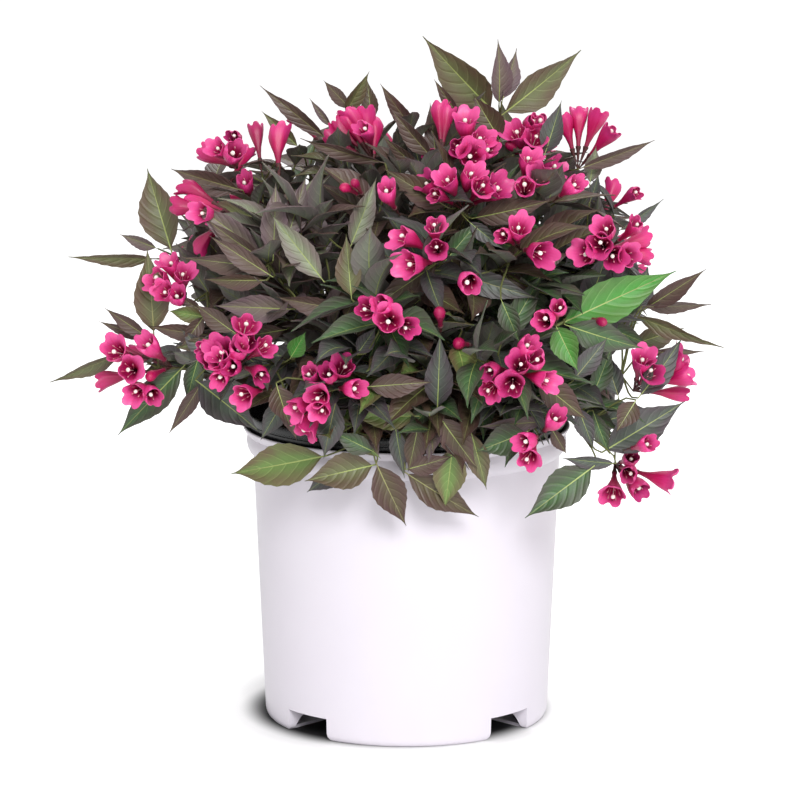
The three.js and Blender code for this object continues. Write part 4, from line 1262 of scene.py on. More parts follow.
def small_part(obj, slot):
    """One finish for a whole small part of a flower, and a place for it in the corner of its cell."""
    count = len(obj.data.loops)
    cell = [(0.03 + 0.02 * (i % 7), 0.01 + 0.008 * (i % 5)) for i in range(count)]
    slots = [slot] * len(obj.data.polygons)
    return mapped(outward(obj), slots, petal=[(0.5, 0.5)] * count, **{BAKE_MAP: cell})


def calyx():
    """The slim ovary below a flower and the narrow sepals round its foot."""
    obj = ringed("calyx", 10, CALYX_RINGS, unit_size=PART)
    for vertex in obj.data.vertices:
        if vertex.co.z > 1.5 * PART:
            vertex.co.z += (2.6 if between_lobes(vertex) else -2.2) * PART
    return small_part(obj, 2)


def stigma():
    """The round white stigma on its style."""
    return small_part(ringed("stigma", 8, STIGMA_RINGS, unit_size=PART), 3)


def anther(index):
    """One of five stamens, leaning out from the tube, with a pale anther."""
    angle = math.tau * (index + 0.5) / LOBES
    obj = ringed(f"anther_{index}", 3, ANTHER_RINGS, unit_size=PART)
    for vertex in obj.data.vertices:
        lean = 3.6 * PART * (vertex.co.z / PART - 12) / 14 + 1.2 * PART
        vertex.co.x += math.cos(angle) * lean
        vertex.co.y += math.sin(angle) * lean
    return small_part(obj, 4)


def flower_form(name, rings, cleft, lobe_sides):
    parts = [corolla(name, rings, cleft, lobe_sides), calyx(), stigma()]
    if lobe_sides == LOBE_SIDES["near"]:
        parts += [anther(i) for i in range(LOBES)]
    return Form(*parts)


def bud_form():
    """A closed bud: a slim club with its lobes folded over."""
    obj = ringed("bud", 10, BUD_RINGS, unit_size=PART)
    for vertex in obj.data.vertices:
        x, y, z = vertex.co
        crease = 1 - 0.14 * min(1, z * 1.5) * between_lobes(vertex)
        vertex.co = (x * crease, y * crease, z)
    outward(obj)
    petal = [(around, 0.15 + 0.4 * z) for _, around, z in unrolled(obj)]
    cell = [(0.03 + 0.94 * clipped(around), 0.08 + 0.85 * clipped(z)) for _, around, z in unrolled(obj)]
    return Form(mapped(obj, petal=petal, **{BAKE_MAP: cell}), calyx())


def smooth_rod(name, sides, rings):
    obj = outward(ringed(name, sides, rings))
    rod = [(around, z) for _, around, z in unrolled(obj)]
    cell = [(0.04 + 0.92 * clipped(around), 0.04 + 0.92 * z) for around, z in rod]
    return mapped(obj, rod=rod, **{BAKE_MAP: cell})


def twig_form(name, sides, rings):
    """A straight round limb of radius 1 from height 0 to 1, with rings to bend it at."""
    return Form(smooth_rod(name, sides, [(1, i / rings) for i in range(rings + 1)]))


# ---- copies bent to their places

CALM = 0.35  # share of the bends that a listed leaf keeps
LEAST_ARC = 0.02
ARC_LIFT = 0.55  # how far a drooping leaf's foot rises to meet it
WAVES = {"count": 9, "shift": 1.3}  # along a leaf's edges, in radians
PUCKER = {"height": 0.006, "count": 8.5, "slant": 0.2, "rise": 3, "edge": 0.9}  # between the side veins


def bent_leaves(form, leaves):
    """Each leaf's corners: folded along its midrib, drooping in an arc, twisted, waved and set in place."""
    x, y, z = form.corners.T[:, None]

    def each(values):
        return np.array(list(values))[:, None]

    def own(what):
        return each(own_draw(leaf, what) for leaf in leaves)

    calm = each(CALM if leaf.leading else 1.0 for leaf in leaves)
    fold, arc, twist = own("fold"), own("arc") * calm + LEAST_ARC, own("twist") * calm
    sway, wave, phase = own("sway") * calm, own("wave"), own("phase")
    across = y * each(leaf.breadth for leaf in leaves)
    edge = np.abs(y) * 2
    rise = z + np.abs(across) * fold
    rise = rise + wave * edge * np.sin(WAVES["count"] * x + phase + np.sign(y) * WAVES["shift"])
    furrows = np.cos(math.tau * PUCKER["count"] * (x - PUCKER["slant"] * edge))
    inside = np.minimum(edge * PUCKER["rise"], 1) * (edge < PUCKER["edge"])
    rise = rise + PUCKER["height"] * furrows * inside
    turn = twist * x
    across, rise = across * np.cos(turn) - rise * np.sin(turn), across * np.sin(turn) + rise * np.cos(turn)
    across = across + sway * x * x
    bend = arc * x
    forward = np.sin(bend) / arc - rise * np.sin(-bend)
    lift = -(1 - np.cos(bend)) / arc + rise * np.cos(bend) + 0.5 * arc * x * ARC_LIFT
    ways = ((forward, "along"), (across, "across"), (lift, "face"))
    spots = sum(each(getattr(leaf, way) for leaf in leaves) * share[..., None] for share, way in ways)
    return each(leaf.root for leaf in leaves) + spots * each(leaf.length for leaf in leaves)[..., None]


def bent_flowers(form, flowers):
    """Each flower's corners, set in its place with a turn, a bend and a breadth of its own."""
    x, y, z = form.corners.T[:, :, None]
    spots = []
    for flower in flowers:
        level, upright = sides_of(flower.along)
        spin = own_draw(flower, "spin")
        across = swung(level, upright, spin)
        beside = np.cross(flower.along, across)
        bend = own_draw(flower, "bend")
        size = own_draw(flower, "breadth")
        spot = flower.along * z + across * (x * size + bend * z * np.abs(z)) + beside * (y * size)
        spots.append(flower.root + flower.along * FLOWER["calyx"] + spot * flower.length)
    return np.array(spots)


def bent_rods(form, rods):
    """Corners of a rod form along each line, with radii that taper from its start to its tip."""
    x, y, z = form.corners.T[:, :, None]
    stations, inverse = np.unique(np.round(z[:, 0], 4), return_inverse=True)
    shaped = []
    for limb in rods:
        line = limb.at(stations * limb.used)
        ways = np.gradient(line, axis=0)
        ways /= np.linalg.norm(ways, axis=1)[:, None]
        across, _ = sides_of(ways[0])
        levels = []
        for way in ways:
            across = unit(across - way * across.dot(way))
            levels.append(across)
        levels = np.array(levels)
        besides = np.cross(ways, levels)
        radius = (limb.radii[0] + (limb.radii[1] - limb.radii[0]) * stations)[inverse][:, None]
        shaped.append(line[inverse] + (levels[inverse] * x + besides[inverse] * y) * radius)
    return np.array(shaped)


# ---- node trees


class Tree:
    """A node tree with short ways to add and join nodes."""

    def __init__(self, tree):
        self.tree = tree

    def node(self, kind, **settings):
        made = self.tree.nodes.new(kind)
        for name, value in settings.items():
            setattr(made, name, value)
        return made

    def put(self, socket, value):
        if isinstance(value, bpy.types.NodeSocket):
            self.tree.links.new(value, socket)
        elif value is not None:
            if socket.type == "RGBA" and len(value) == 3:
                value = (*value, 1.0)
            socket.default_value = value

    def made(self, kind, *values, **settings):
        """The first output of a new node, with values or other nodes' outputs for its first inputs."""
        made = self.node(kind, **settings)
        for socket, value in zip(made.inputs, values, strict=False):
            self.put(socket, value)
        return made.outputs[0]

    def math(self, operation, *values):
        return self.made("ShaderNodeMath", *values, operation=operation)

    def spread(self, value, low, high, to_low=0.0, to_high=1.0):
        limits = (low, high, to_low, to_high)
        return self.made("ShaderNodeMapRange", value, *limits, interpolation_type="SMOOTHSTEP")

    def stretched(self, x, y, z=0.0):
        return self.made("ShaderNodeCombineXYZ", x, y, z)

    def noise(self, vector, scale, detail=2.0, roughness=0.5):
        return self.made("ShaderNodeTexNoise", vector, None, scale, detail, roughness)

    def mix(self, share, first, second, blend="MIX"):
        made = self.node("ShaderNodeMix", data_type="RGBA", blend_type=blend)
        for index, value in ((0, share), (6, first), (7, second)):  # its inputs for colours
            self.put(made.inputs[index], value)
        return made.outputs[2]

    def place(self):
        return self.node("ShaderNodeTexCoord").outputs["Object"]

    def map(self, name):
        split = self.node("ShaderNodeSeparateXYZ")
        self.put(split.inputs[0], self.node("ShaderNodeUVMap", uv_map=name).outputs[0])
        return split.outputs[0], split.outputs[1]


def finish(name, build, **plain):
    """A material: plain sockets are set on its shader, and build gives what changes over the surface."""
    material = bpy.data.materials.get(name)
    if material:
        return material
    material = bpy.data.materials.new(name)
    material.use_nodes = True
    tree = Tree(material.node_tree)
    shader = material.node_tree.nodes["Principled BSDF"]
    made = {key.replace("_", " "): value for key, value in plain.items()} | build(tree)
    if "Height" in made:
        bump = tree.node("ShaderNodeBump")
        for key, value in zip(("Height", "Strength", "Distance"), made.pop("Height"), strict=True):
            tree.put(bump.inputs[key], value)
        made["Normal"] = bump.outputs[0]
    for key, value in made.items():
        tree.put(shader.inputs[key], value)
    return material


# ---- effects


def veins(tree, given):
    """Side veins that leave the midrib and curve towards the tip, and a flush towards the leaf's edge."""
    along, aside = tree.map("blade")
    edge = tree.math("ABSOLUTE", tree.math("MULTIPLY_ADD", aside, 2.0, -1.0))
    curve = tree.math("MULTIPLY_ADD", tree.math("POWER", edge, 1.6), 0.14, tree.math("MULTIPLY", edge, 0.1))
    phase = tree.math("MULTIPLY", tree.math("SUBTRACT", along, curve), given["Count"])
    ripple = tree.math("PINGPONG", phase, 0.5)
    fade = tree.spread(edge, 0.2, 1.0, 1.0, 0.35)
    line = tree.math("MULTIPLY", tree.spread(ripple, 0.0, 0.085, 1.0, 0.0), fade)
    grain = tree.noise(tree.place(), 900.0, 3.0, 0.6)
    patch = tree.noise(tree.place(), 42.0, 2.0)
    flush = tree.math("ADD", tree.spread(edge, 0.05, 0.8), tree.math("MULTIPLY_ADD", patch, 1.5, -0.75))
    blade = tree.mix(tree.math("MULTIPLY", flush, given["Flush amount"]), given["Blade"], given["Flush"])
    blade = tree.mix(tree.math("MULTIPLY", line, given["Vein strength"]), blade, given["Vein"])
    shade = tree.math("MULTIPLY_ADD", grain, 0.3, 0.85)
    colour = tree.mix(1.0, blade, tree.stretched(shade, shade, shade), "MULTIPLY")
    height = tree.math("ADD", tree.spread(ripple, 0.0, 0.3), tree.math("MULTIPLY", grain, 0.12))
    rough = tree.math("MULTIPLY_ADD", patch, 0.2, given["Roughness"])
    return {"Colour": colour, "Height": height, "Roughness": rough}


def petal_shades(tree, given):
    """Deep colour at a flower's foot, paler towards its lobes, with fine streaks along it."""
    around, along = tree.map("petal")
    around, stretched = tree.math("MULTIPLY", around, 26.0), tree.math("MULTIPLY", along, 1.4)
    streaks = tree.noise(tree.stretched(around, stretched), 2.0)
    reach = tree.math("ADD", along, tree.math("MULTIPLY_ADD", streaks, 0.36, -0.18))
    low = tree.mix(tree.spread(reach, 0.1, 0.5), given["Foot"], given["Middle"])
    colour = tree.mix(tree.spread(reach, 0.5, 0.9), low, given["Lobe"])
    height = tree.math("ADD", streaks, tree.math("MULTIPLY", tree.noise(tree.place(), 260.0), 0.6))
    return {"Colour": colour, "Height": height}


def bark_look(tree, given):
    """Grey-brown bark with long cracks and paler flecks."""
    around, along = tree.map("rod")
    around, along = tree.math("MULTIPLY", around, 7.0), tree.math("MULTIPLY", along, given["Length"])
    cracks = tree.noise(tree.stretched(around, along), 1.6, 4.0, 0.62)
    flecks = tree.noise(tree.place(), 520.0, 2.0)
    colour = tree.mix(tree.spread(cracks, 0.3, 0.62), given["Crack"], given["Bark"])
    colour = tree.mix(tree.spread(flecks, 0.6, 0.78, 0.0, 0.6), colour, given["Fleck"])
    height = tree.math("MULTIPLY_ADD", flecks, 0.25, cracks)
    return {"Colour": colour, "Height": height}


def plastic_look(tree, given):
    """Moulded plastic: a faint mottle, a few scuffs, and a fine grain."""
    mottle = tree.noise(tree.place(), 14.0, 3.0)
    grain = tree.noise(tree.place(), 1400.0, 2.0)
    scuffs = tree.spread(tree.noise(tree.place(), 95.0, 6.0, 0.7), 0.62, 0.8)
    colour = tree.mix(tree.math("MULTIPLY", mottle, given["Mottle"]), given["Plastic"], given["Shade"])
    worn = tree.math("MULTIPLY_ADD", scuffs, 0.12, tree.math("MULTIPLY", grain, 0.06))
    rough = tree.math("ADD", given["Roughness"], worn)
    return {"Colour": colour, "Height": tree.math("MULTIPLY_ADD", grain, 0.4, mottle), "Roughness": rough}


# What joins each effect's nodes, and its inputs with their defaults.
EFFECTS = {
    "Leaf veins": (veins, {
        "Blade": srgb(0x4A4038), "Flush": srgb(0x3B2C2C), "Vein": srgb(0x6E6A4C), "Flush amount": 0.8,
        "Vein strength": 0.36, "Count": 7.5, "Roughness": 0.36,
    }),
    "Petal shades": (petal_shades, {
        "Foot": srgb(0xA3123F), "Middle": srgb(0xD81F6B), "Lobe": srgb(0xEE6A9C),
    }),
    "Bark": (bark_look, {
        "Crack": srgb(0x33251B), "Bark": srgb(0x6B5440), "Fleck": srgb(0x9B8468), "Length": 6.0,
    }),
    "Moulded plastic": (plastic_look, {
        "Plastic": srgb(0xF3F0F4), "Shade": srgb(0xE9E2EC), "Mottle": 0.5, "Roughness": 0.3,
    }),
}


def effect(name):
    """An effect's shader node group, made once, with an output for all that it gives."""
    group = bpy.data.node_groups.get(name)
    if group:
        return group
    build, inputs = EFFECTS[name]
    group = bpy.data.node_groups.new(name, "ShaderNodeTree")

    def socket(key, side, coloured):
        kind = "NodeSocketColor" if coloured else "NodeSocketFloat"
        return group.interface.new_socket(key, in_out=side, socket_type=kind)

    for key, default in inputs.items():
        coloured = isinstance(default, tuple)
        socket(key, "INPUT", coloured).default_value = (*default, 1.0) if coloured else default
    tree = Tree(group)
    made = build(tree, tree.node("NodeGroupInput").outputs)
    for key in made:
        socket(key, "OUTPUT", key == "Colour")
    result = tree.node("NodeGroupOutput").inputs
    for key, value in made.items():
        tree.put(result[key], value)
    return group


# ---- materials


def dressed(name, effect_name, values, relief, depth, **plain):
    """A material that wears an effect with its own values for its inputs, in their order or by name."""
    if not isinstance(values, dict):
        values = dict(zip(EFFECTS[effect_name][1], values, strict=False))

    def build(tree):
        worn = tree.node("ShaderNodeGroup", node_tree=effect(effect_name))
        for key, value in values.items():
            tree.put(worn.inputs[key], value)
        made = {"Base Color": worn.outputs["Colour"], "Height": (worn.outputs["Height"], relief, depth)}
        if "Roughness" in worn.outputs:
            made["Roughness"] = worn.outputs["Roughness"]
        return made

    return finish(name, build, **plain)


def leaf_looks():
    """The tops in every tint, the underside, and the midribs, bright and dull."""
    tops = [dressed(f"leaf_{name}", "Leaf veins", TINTS[name], 0.55, 0.0006) for name in TINT_ORDER]
    under = {"Blade": srgb(0x7C8273), "Flush": srgb(0x74696A), "Vein": srgb(0xA3A88A), "Roughness": 0.5}
    underside = dressed("leaf_underside", "Leaf veins", under, 0.5, -0.0005)
    return [*tops, underside, midrib("midrib", srgb(0xA6B567)), midrib("midrib_dull", srgb(0x94935F))]


def midrib(name, colour):
    def build(tree):
        along, _ = tree.map("blade")
        shade = tree.mix(tree.spread(along, 0.2, 1.0, 0.0, 0.75), colour, srgb(0x6F6A4A))
        return {"Base Color": shade, "Height": (tree.noise(tree.place(), 800.0), 0.2, 0.0003)}

    return finish(name, build, Roughness=0.42)


def petal(name, *shades):
    """A petal's finish, from its foot to its lobe, with a little light let through."""
    through = {"Subsurface_Weight": 0.12, "Subsurface_Radius": (0.004, 0.001, 0.001)}
    return dressed(name, "Petal shades", shades, 0.35, 0.0005, Roughness=0.42, **through)


def bark(name, *values, relief=0.3):
    return dressed(name, "Bark", values, relief, 0.0012, Roughness=0.78)


def plastic(name, *values):
    return dressed(name, "Moulded plastic", values, 0.12, 0.0003)


def speckled(name, colour, other, scale, roughness):
    """A small part's finish: two close colours in fine speckles."""
    def build(tree):
        speckle = tree.noise(tree.place(), scale, 3.0)
        shade = tree.mix(tree.spread(speckle, 0.35, 0.65), colour, other)
        return {"Base Color": shade, "Height": (speckle, 0.3, 0.0004)}

    return finish(name, build, Roughness=roughness)


# ---- sizes and colours that a user would change


def colour_of(name, what, default):
    return FloatVectorProperty(name=name, description=f"Colour of {what}", subtype="COLOR", default=default)


def size_of(name, what, default, least, most):
    return FloatProperty(name=name, description=what, default=default, min=least, max=most, unit="LENGTH")


class PotSettings(PropertyGroup):
    plastic: colour_of("Outer pot", "the outer pot's plastic", srgb(0xE1DCE4))
    inner: colour_of("Inner pot", "the nursery pot inside", srgb(0x0E0F10))
    edge: size_of("Lip rounding", "Radius of the rounding on the lip's edges", 0.0007, 0.0001, 0.002)
    chips: IntProperty(
        name="Bark chips", description="How many lie on the soil", min=0, max=2000, default=SOIL["chips"]
    )


class PlantSettings(PropertyGroup):
    relief: size_of("Bark relief", "Depth of the cracks in the bark", 0.0005, 0, 0.002)
    lobe: colour_of("Petal lobes", "the lobes of the flowers", srgb(0xD83883))
    tube: colour_of("Petal tubes", "the tubes of the flowers", srgb(0xBE135A))


class StageSettings(PropertyGroup):
    floor: colour_of("Floor", "the floor", (0.95, 0.95, 0.95))
    light: FloatProperty(
        name="Light", description="Strength of the studio lights, as a share", min=0, max=4, default=1.0
    )


# ---- pots

FRACTAL = {"lacunarity": 2.0, "octaves": 4}
CRUMBS = {"scale": 130, "height": 0.0011, "most": 0.0007}  # on the soil, in metres
CHIPS = {"margin": 5, "sunk": 0.4, "slope": 2.2}


def wall_radius(height):
    pot = OUTER_POT
    share = (height - pot["foot_rounding"]) / (pot["height"] - pot["band_drop"] - pot["foot_rounding"])
    return pot["wall_foot"] + (pot["wall_top"] - pot["wall_foot"]) * share


def knobbly(spot, smoothness):
    return noise.fractal(spot, smoothness, FRACTAL["lacunarity"], FRACTAL["octaves"])


SHOULDER = wall_radius(BAND) - OUTER_POT["wall"] - 1  # of the inner pot, just inside the outer one


def outer_pot_rings(edge):
    """Rings up the outside, over the lip and down the inside, in millimetres."""
    pot, top = OUTER_POT, OUTER_POT["height"]
    foot, wall_foot, rounding = pot["foot"], pot["wall_foot"], pot["foot_rounding"]
    lip, groove, bead, bead_at = pot["lip"], pot["groove"], pot["bead"], top - pot["bead_drop"]
    angles = [math.radians(a) for a in range(0, 91, 15)]
    outside = [(foot + (wall_foot - foot) * math.sin(a), rounding * (1 - math.cos(a))) for a in angles]
    outside += [(wall_radius(z), z) for z in np.linspace(rounding, BAND, 9)[1:]]
    outside += [(pot["wall_top"] + 1.4, BAND + 0.8), (bead - 2.4, BAND + 3), (bead - 1.0, BAND + 6)]
    outside += [(bead, bead_at), (bead - 0.5, bead_at + 2.6)]
    outside += [(groove + 0.3, NECK - 0.9), (groove, NECK), (groove + 0.5, NECK + 0.8)]
    outside += [(lip - 1.6, top - 4), (lip - 0.3, top - 1.2), (lip - edge * 0.3, top - edge)]
    outside += [(lip - edge, top)]
    inside = [(lip + 0.3, top), (groove, NECK), (pot["wall_top"], BAND), (wall_foot, rounding)]
    inside += [(foot, pot["floor"])]
    return outside + [(radius - pot["wall"], height) for radius, height in inside]


def pocket_block(name, extra, foot, top, corner=0.0):
    """A block that narrows inwards from the pot's edge, towards -Y, flared at its foot for round corners."""
    back = OUTER_POT["wall_foot"] - DRAIN["depth"] - extra
    far = OUTER_POT["wall_top"] + 10
    slope = (DRAIN["mouth"] - DRAIN["back"]) / 2 / DRAIN["depth"]
    half_back = DRAIN["back"] / 2 + extra
    half_far = half_back + slope * (far - back)
    rounding = [corner * (1 - math.cos(math.radians(a))) for a in (0, 30, 60, 90)] if corner else []
    levels = [foot, *rounding, top]

    def flare(z):
        return corner - math.sqrt(max(0.0, corner**2 - (corner - min(max(z, 0), corner)) ** 2))

    obj = ringed(name, 4, [(1, z) for z in levels], unit_size=MM)
    for vertex in obj.data.vertices:
        x, y, height = vertex.co
        z = min(levels, key=lambda level: abs(level * MM - height))
        # A ring's corners lie on the axes: two of them become the far edge, and two the edge at the back.
        half, depth = (half_far, far) if x + y < 0 else (half_back, back)
        vertex.co = (math.copysign((half + flare(z)) * MM, x - y), -depth * MM, z * MM)
    return outward(obj)


def drain_hole(back):
    """A wide low cylinder across a pocket's back, which leaves an arched opening."""
    cleared()
    bpy.ops.mesh.primitive_cylinder_add(
        vertices=64, radius=1, depth=1, location=(0, -back * MM, 0), rotation=(0, math.pi / 2, 0),
        scale=(DRAIN["hole_height"] * MM, DRAIN["hole_depth"] * MM, DRAIN["hole_width"] * MM))
    return started("hole")


class WEIGELA_OT_outer_pot(Operator):
    """White outer pot with its lip, bead and four drain pockets at its foot"""

    bl_idname = "weigela.outer_pot"
    bl_label = "Outer pot"

    def execute(self, context):
        settings = context.scene.weigela_pot
        wall_foot, housing_top = OUTER_POT["wall_foot"], DRAIN["height"] + DRAIN["wall"]
        pot = outward(ringed("outer_pot_moulded", ROUND, outer_pot_rings(settings.edge / MM), unit_size=MM))
        filled = [(OUTER_POT["foot"], 0), (wall_foot, OUTER_POT["foot_rounding"]), (wall_foot, 60)]
        for i in range(DRAIN["count"]):
            azimuth = DRAIN["first_azimuth"] + 360 / DRAIN["count"] * i
            housing = turned_about(pocket_block("housing", DRAIN["wall"], 0.4, housing_top), azimuth)
            combined(housing, outward(ringed("inside", ROUND, filled, unit_size=MM)), "INTERSECT")
            combined(pot, housing, "UNION")
            pocket = pocket_block("pocket", 0, -1, DRAIN["height"], DRAIN["foot_corner"])
            combined(pot, turned_about(pocket, azimuth), "DIFFERENCE")
            hole = drain_hole(wall_foot - DRAIN["depth"] - DRAIN["wall"])
            combined(pot, turned_about(hole, azimuth), "DIFFERENCE")
        look = plastic("white_plastic", tuple(settings.plastic), srgb(0xD9D2DE), 0.5, 0.27)
        finished(smoothed(pot, SMOOTH["pots"]), [look], "outer_pot_plastic", "outer_pot")
        return {"FINISHED"}


class WEIGELA_OT_inner_pot(Operator):
    """Black nursery pot inside the outer one, with its rolled rim and the ribs below it"""

    bl_idname = "weigela.inner_pot"
    bl_label = "Inner pot"

    def execute(self, context):
        floor, neck, wall = INNER_POT["floor"], INNER_POT["neck"], INNER_POT["wall"]
        rim, top, lip = INNER_POT["rim"], INNER_RIM, OUTER_POT["height"]
        under = rim - INNER_POT["lip_wall"]
        rings = [(floor - 2, INNER_FLOOR), (floor, INNER_FLOOR + 2), (SHOULDER, BAND - 2), (neck, NECK)]
        rings += [(rim - 0.9, lip + 2), (rim - 0.9, lip + 4), (rim - 1.5, lip + 4.6), (rim - 1.5, lip + 5.6)]
        rings += [(rim - 0.4, lip + 6.2), (rim, top - 3), (rim - 0.1, top - 1.2), (rim - 0.5, top - 0.3)]
        rings += [(rim - 1.1, top), (under + 0.5, top), (under, top - 0.6), (under - 0.2, lip + 2)]
        rings += [(neck - wall, NECK), (SHOULDER - wall, BAND - 2), (floor - wall, INNER_FLOOR + wall)]
        pot = smoothed(outward(ringed("inner_pot_moulded", ROUND, rings, unit_size=MM)), SMOOTH["pots"])
        look = plastic("black_plastic", tuple(context.scene.weigela_pot.inner), srgb(0x1B1D20), 0.6, 0.24)
        finished(pot, [look], "inner_pot_plastic", "inner_pot")
        return {"FINISHED"}


class WEIGELA_OT_soil(Operator):
    """Potting soil with an uneven top, and the chips of bark that lie on it"""

    bl_idname = "weigela.soil"
    bl_label = "Potting soil"

    def execute(self, context):
        gap = INNER_POT["wall"] + CLEARANCE
        edge_height = INNER_RIM - SOIL["below_rim"]
        share = (edge_height - (BAND - 2)) / (NECK - (BAND - 2))
        edge = SHOULDER + (INNER_POT["neck"] - SHOULDER) * share - gap
        foot = edge_height - 1.5
        rings = [(INNER_POT["floor"] - gap, INNER_FLOOR + gap), (SHOULDER - gap, BAND - 2), (edge, foot)]
        rings += [(edge * (1 - i / 30), foot + SOIL["crown"] * min(1, i / 22)) for i in range(1, 30)]
        soil = outward(ringed("potting_soil_crumbs", 96, rings, unit_size=MM))
        for vertex in soil.data.vertices:
            if vertex.co.z > (edge_height - 2) * MM:
                crumb = knobbly(vertex.co * CRUMBS["scale"], 0.8) * CRUMBS["height"]
                vertex.co.z += min(crumb, CRUMBS["most"])
        looks = [speckled("soil_crumbs", srgb(0x24180F), srgb(0x3C2A1C), 240.0, 0.95)]
        finished(smoothed(soil, SMOOTH["soil"]), looks, "potting_soil", "potting_soil")
        self.scatter_chips(context.scene.weigela_pot.chips, edge)
        return {"FINISHED"}

    def chip_form(self):
        """A flake of bark, longer than broad, with a bowed top."""
        cleared()
        bpy.ops.mesh.primitive_cube_add(size=1)
        chip = started("chip")
        with editing(chip):
            bpy.ops.mesh.subdivide(number_cuts=2)
        for vertex in chip.data.vertices:
            x, y, z = vertex.co
            taper = 1 - 0.5 * abs(x) - 0.2 * x * y
            vertex.co = (x, y * 0.5 * taper, z * 0.22 + 0.12 * x * x - 0.16 * y * y)
        corners = range(len(chip.data.loops))
        cell = [(0.05 + 0.9 * ((i * 0.37) % 1), 0.05 + 0.9 * ((i * 0.61) % 1)) for i in corners]
        return Form(mapped(chip, [0] * len(chip.data.polygons), **{BAKE_MAP: cell}))

    def scatter_chips(self, count, edge):
        form = self.chip_form()
        spots = []
        for i in range(count):
            reach = (edge - CHIPS["margin"]) * math.sqrt(drawn("chip_reach", i))
            turn, spin = drawn("chip_turn", i), drawn("chip_spin", i)
            size = SOIL["chip"] * drawn("chip_size", i)
            tip = drawn("chip_tip", i)
            x, y, z = form.corners.T * size
            x, z = x * math.cos(tip) - z * math.sin(tip), x * math.sin(tip) + z * math.cos(tip)
            x, y = x * math.cos(spin) - y * math.sin(spin), x * math.sin(spin) + y * math.cos(spin)
            lift = SOIL_TOP - CHIPS["sunk"] - CHIPS["slope"] * (reach / edge) ** 3
            spots.append(np.stack((x + reach * math.cos(turn), y + reach * math.sin(turn), z + lift), -1))
        finishes = np.array([[int(drawn("chip_look", i))] for i in range(count)])
        looks = [speckled("chip_dark", srgb(0x3A281C), srgb(0x57402D), 300.0, 0.9),
                 speckled("chip_light", srgb(0x5C432E), srgb(0x80623F), 300.0, 0.88)]
        finished(gathered("bark_chips", [(form, np.array(spots), finishes)]), looks, "potting_soil")


# ---- bark

# Grain of the relief round and along a bough, its highest ridge and its strength; the same in the root crown,
# with how far its core lies inside its outline, in millimetres, and its rings.
BOUGH_RELIEF = {"around": 2.6, "along": 0.06, "most": 0.6, "depth": 1.4}
CROWN_RELIEF = {"across": 0.14, "along": 0.05, "most": 0.8, "height": 2.2, "inset": 0.9, "rings": 26}


class WEIGELA_OT_bark(Operator):
    """Root crown and main boughs with the relief of their bark"""

    bl_idname = "weigela.bark"
    bl_label = "Root crown and boughs"

    def execute(self, context):
        relief = context.scene.weigela_plant.relief / MM
        looks = [bark("old_bark", srgb(0x33261C), srgb(0x6E5945), srgb(0x9C876D), 5.0, relief=0.9)]
        finished(smoothed(self.root_crown(), SMOOTH["crown"]), looks, "bark", "root_crown")
        form = twig_form("bough", 20, 34)
        x, y, z = form.corners.T
        grain = BOUGH_RELIEF["around"]
        round_it = [(math.cos(a) * grain, math.sin(a) * grain) for a in np.arctan2(y, x)]
        for name, limb in limbs()[0].items():
            spots = bent_rods(form, [limb])
            out = spots[0] - limb.at(z)
            out /= np.maximum(np.linalg.norm(out, axis=1), 1e-6)[:, None]
            depth = [knobbly(Vector((*around, run * BOUGH_RELIEF["along"])), 0.9)
                     for around, run in zip(round_it, z * limb.length, strict=True)]
            ridges = np.clip(depth, -1, BOUGH_RELIEF["most"])
            spots[0] += out * (ridges * relief * BOUGH_RELIEF["depth"])[:, None]
            obj = gathered(f"{name}_bark", [(form, spots, np.zeros((1, 1), int))])
            finished(obj, looks, "bark", name)
        return {"FINISHED"}

    def root_crown(self):
        radii = (ROOT_CROWN["foot"], *ROOT_CROWN["radii"])
        heights = (0, *ROOT_CROWN["heights"])
        levels = np.linspace(0, heights[-1], CROWN_RELIEF["rings"])
        rings = [(float(np.interp(z, heights, radii)) - CROWN_RELIEF["inset"], z) for z in levels]
        rings.append((2, heights[-1] + 0.2))
        rings = [(radius * MM, z * MM + CROWN_FOOT * MM) for radius, z in rings]
        crown = smooth_rod("root_crown_bark", 48, rings)
        for vertex in crown.data.vertices:
            spot = vertex.co / MM
            if spot.z > CROWN_FOOT + 1:
                across, along = CROWN_RELIEF["across"], CROWN_RELIEF["along"]
                knots = knobbly(Vector((spot.x * across, spot.y * across, spot.z * along)), 0.8)
                out = min(knots * CROWN_RELIEF["height"], CROWN_RELIEF["most"])
                vertex.co += Vector((spot.x, spot.y, 0)).normalized() * out * MM
        return crown


# ---- twigs, leaves and blossom


def nodes_of(side):
    return [mass.name for mass in limbs()[1] if mass.side == side]


class WEIGELA_OT_twigs(Operator):
    """Stems, side stems, twigs and flower stalks, joined into one piece"""

    bl_idname = "weigela.twigs"
    bl_label = "Twigs"

    def execute(self, context):
        grown = plant()
        thick, thin = twig_form("stem", 8, 14), twig_form("twig", 6, 5)
        stems = [limb for limb, kind in grown.wood if kind == "stem" and limb.used]
        twigs = [limb for limb, kind in grown.wood if kind == "twig"]
        stalks = [
            Limb(flower.stalk, flower.along, flower.root + flower.along, flower.along, PEDUNCLE_RADII)
            for flower in grown.flowers
        ]
        batches = [
            (form, bent_rods(form, rods), np.full((len(rods), 1), slot))
            for slot, (form, rods) in enumerate(((thick, stems), (thin, twigs), (thin, stalks)))
        ]
        looks = [
            bark("young_bark", srgb(0x4E4A2E), srgb(0x7D7A4C), srgb(0x9A8F62), 8.0, relief=0.5),
            bark("green_twig", srgb(0x4B4A2C), srgb(0x747A42), srgb(0x7C5A48), 5.0),
            bark("flower_stalk", srgb(0x3E2226), srgb(0x5B3A34), srgb(0x7A7A4A), 4.0),
        ]
        finished(gathered("twigs", batches), looks, "bark", *[mass.name for mass in grown.masses])
        return {"FINISHED"}


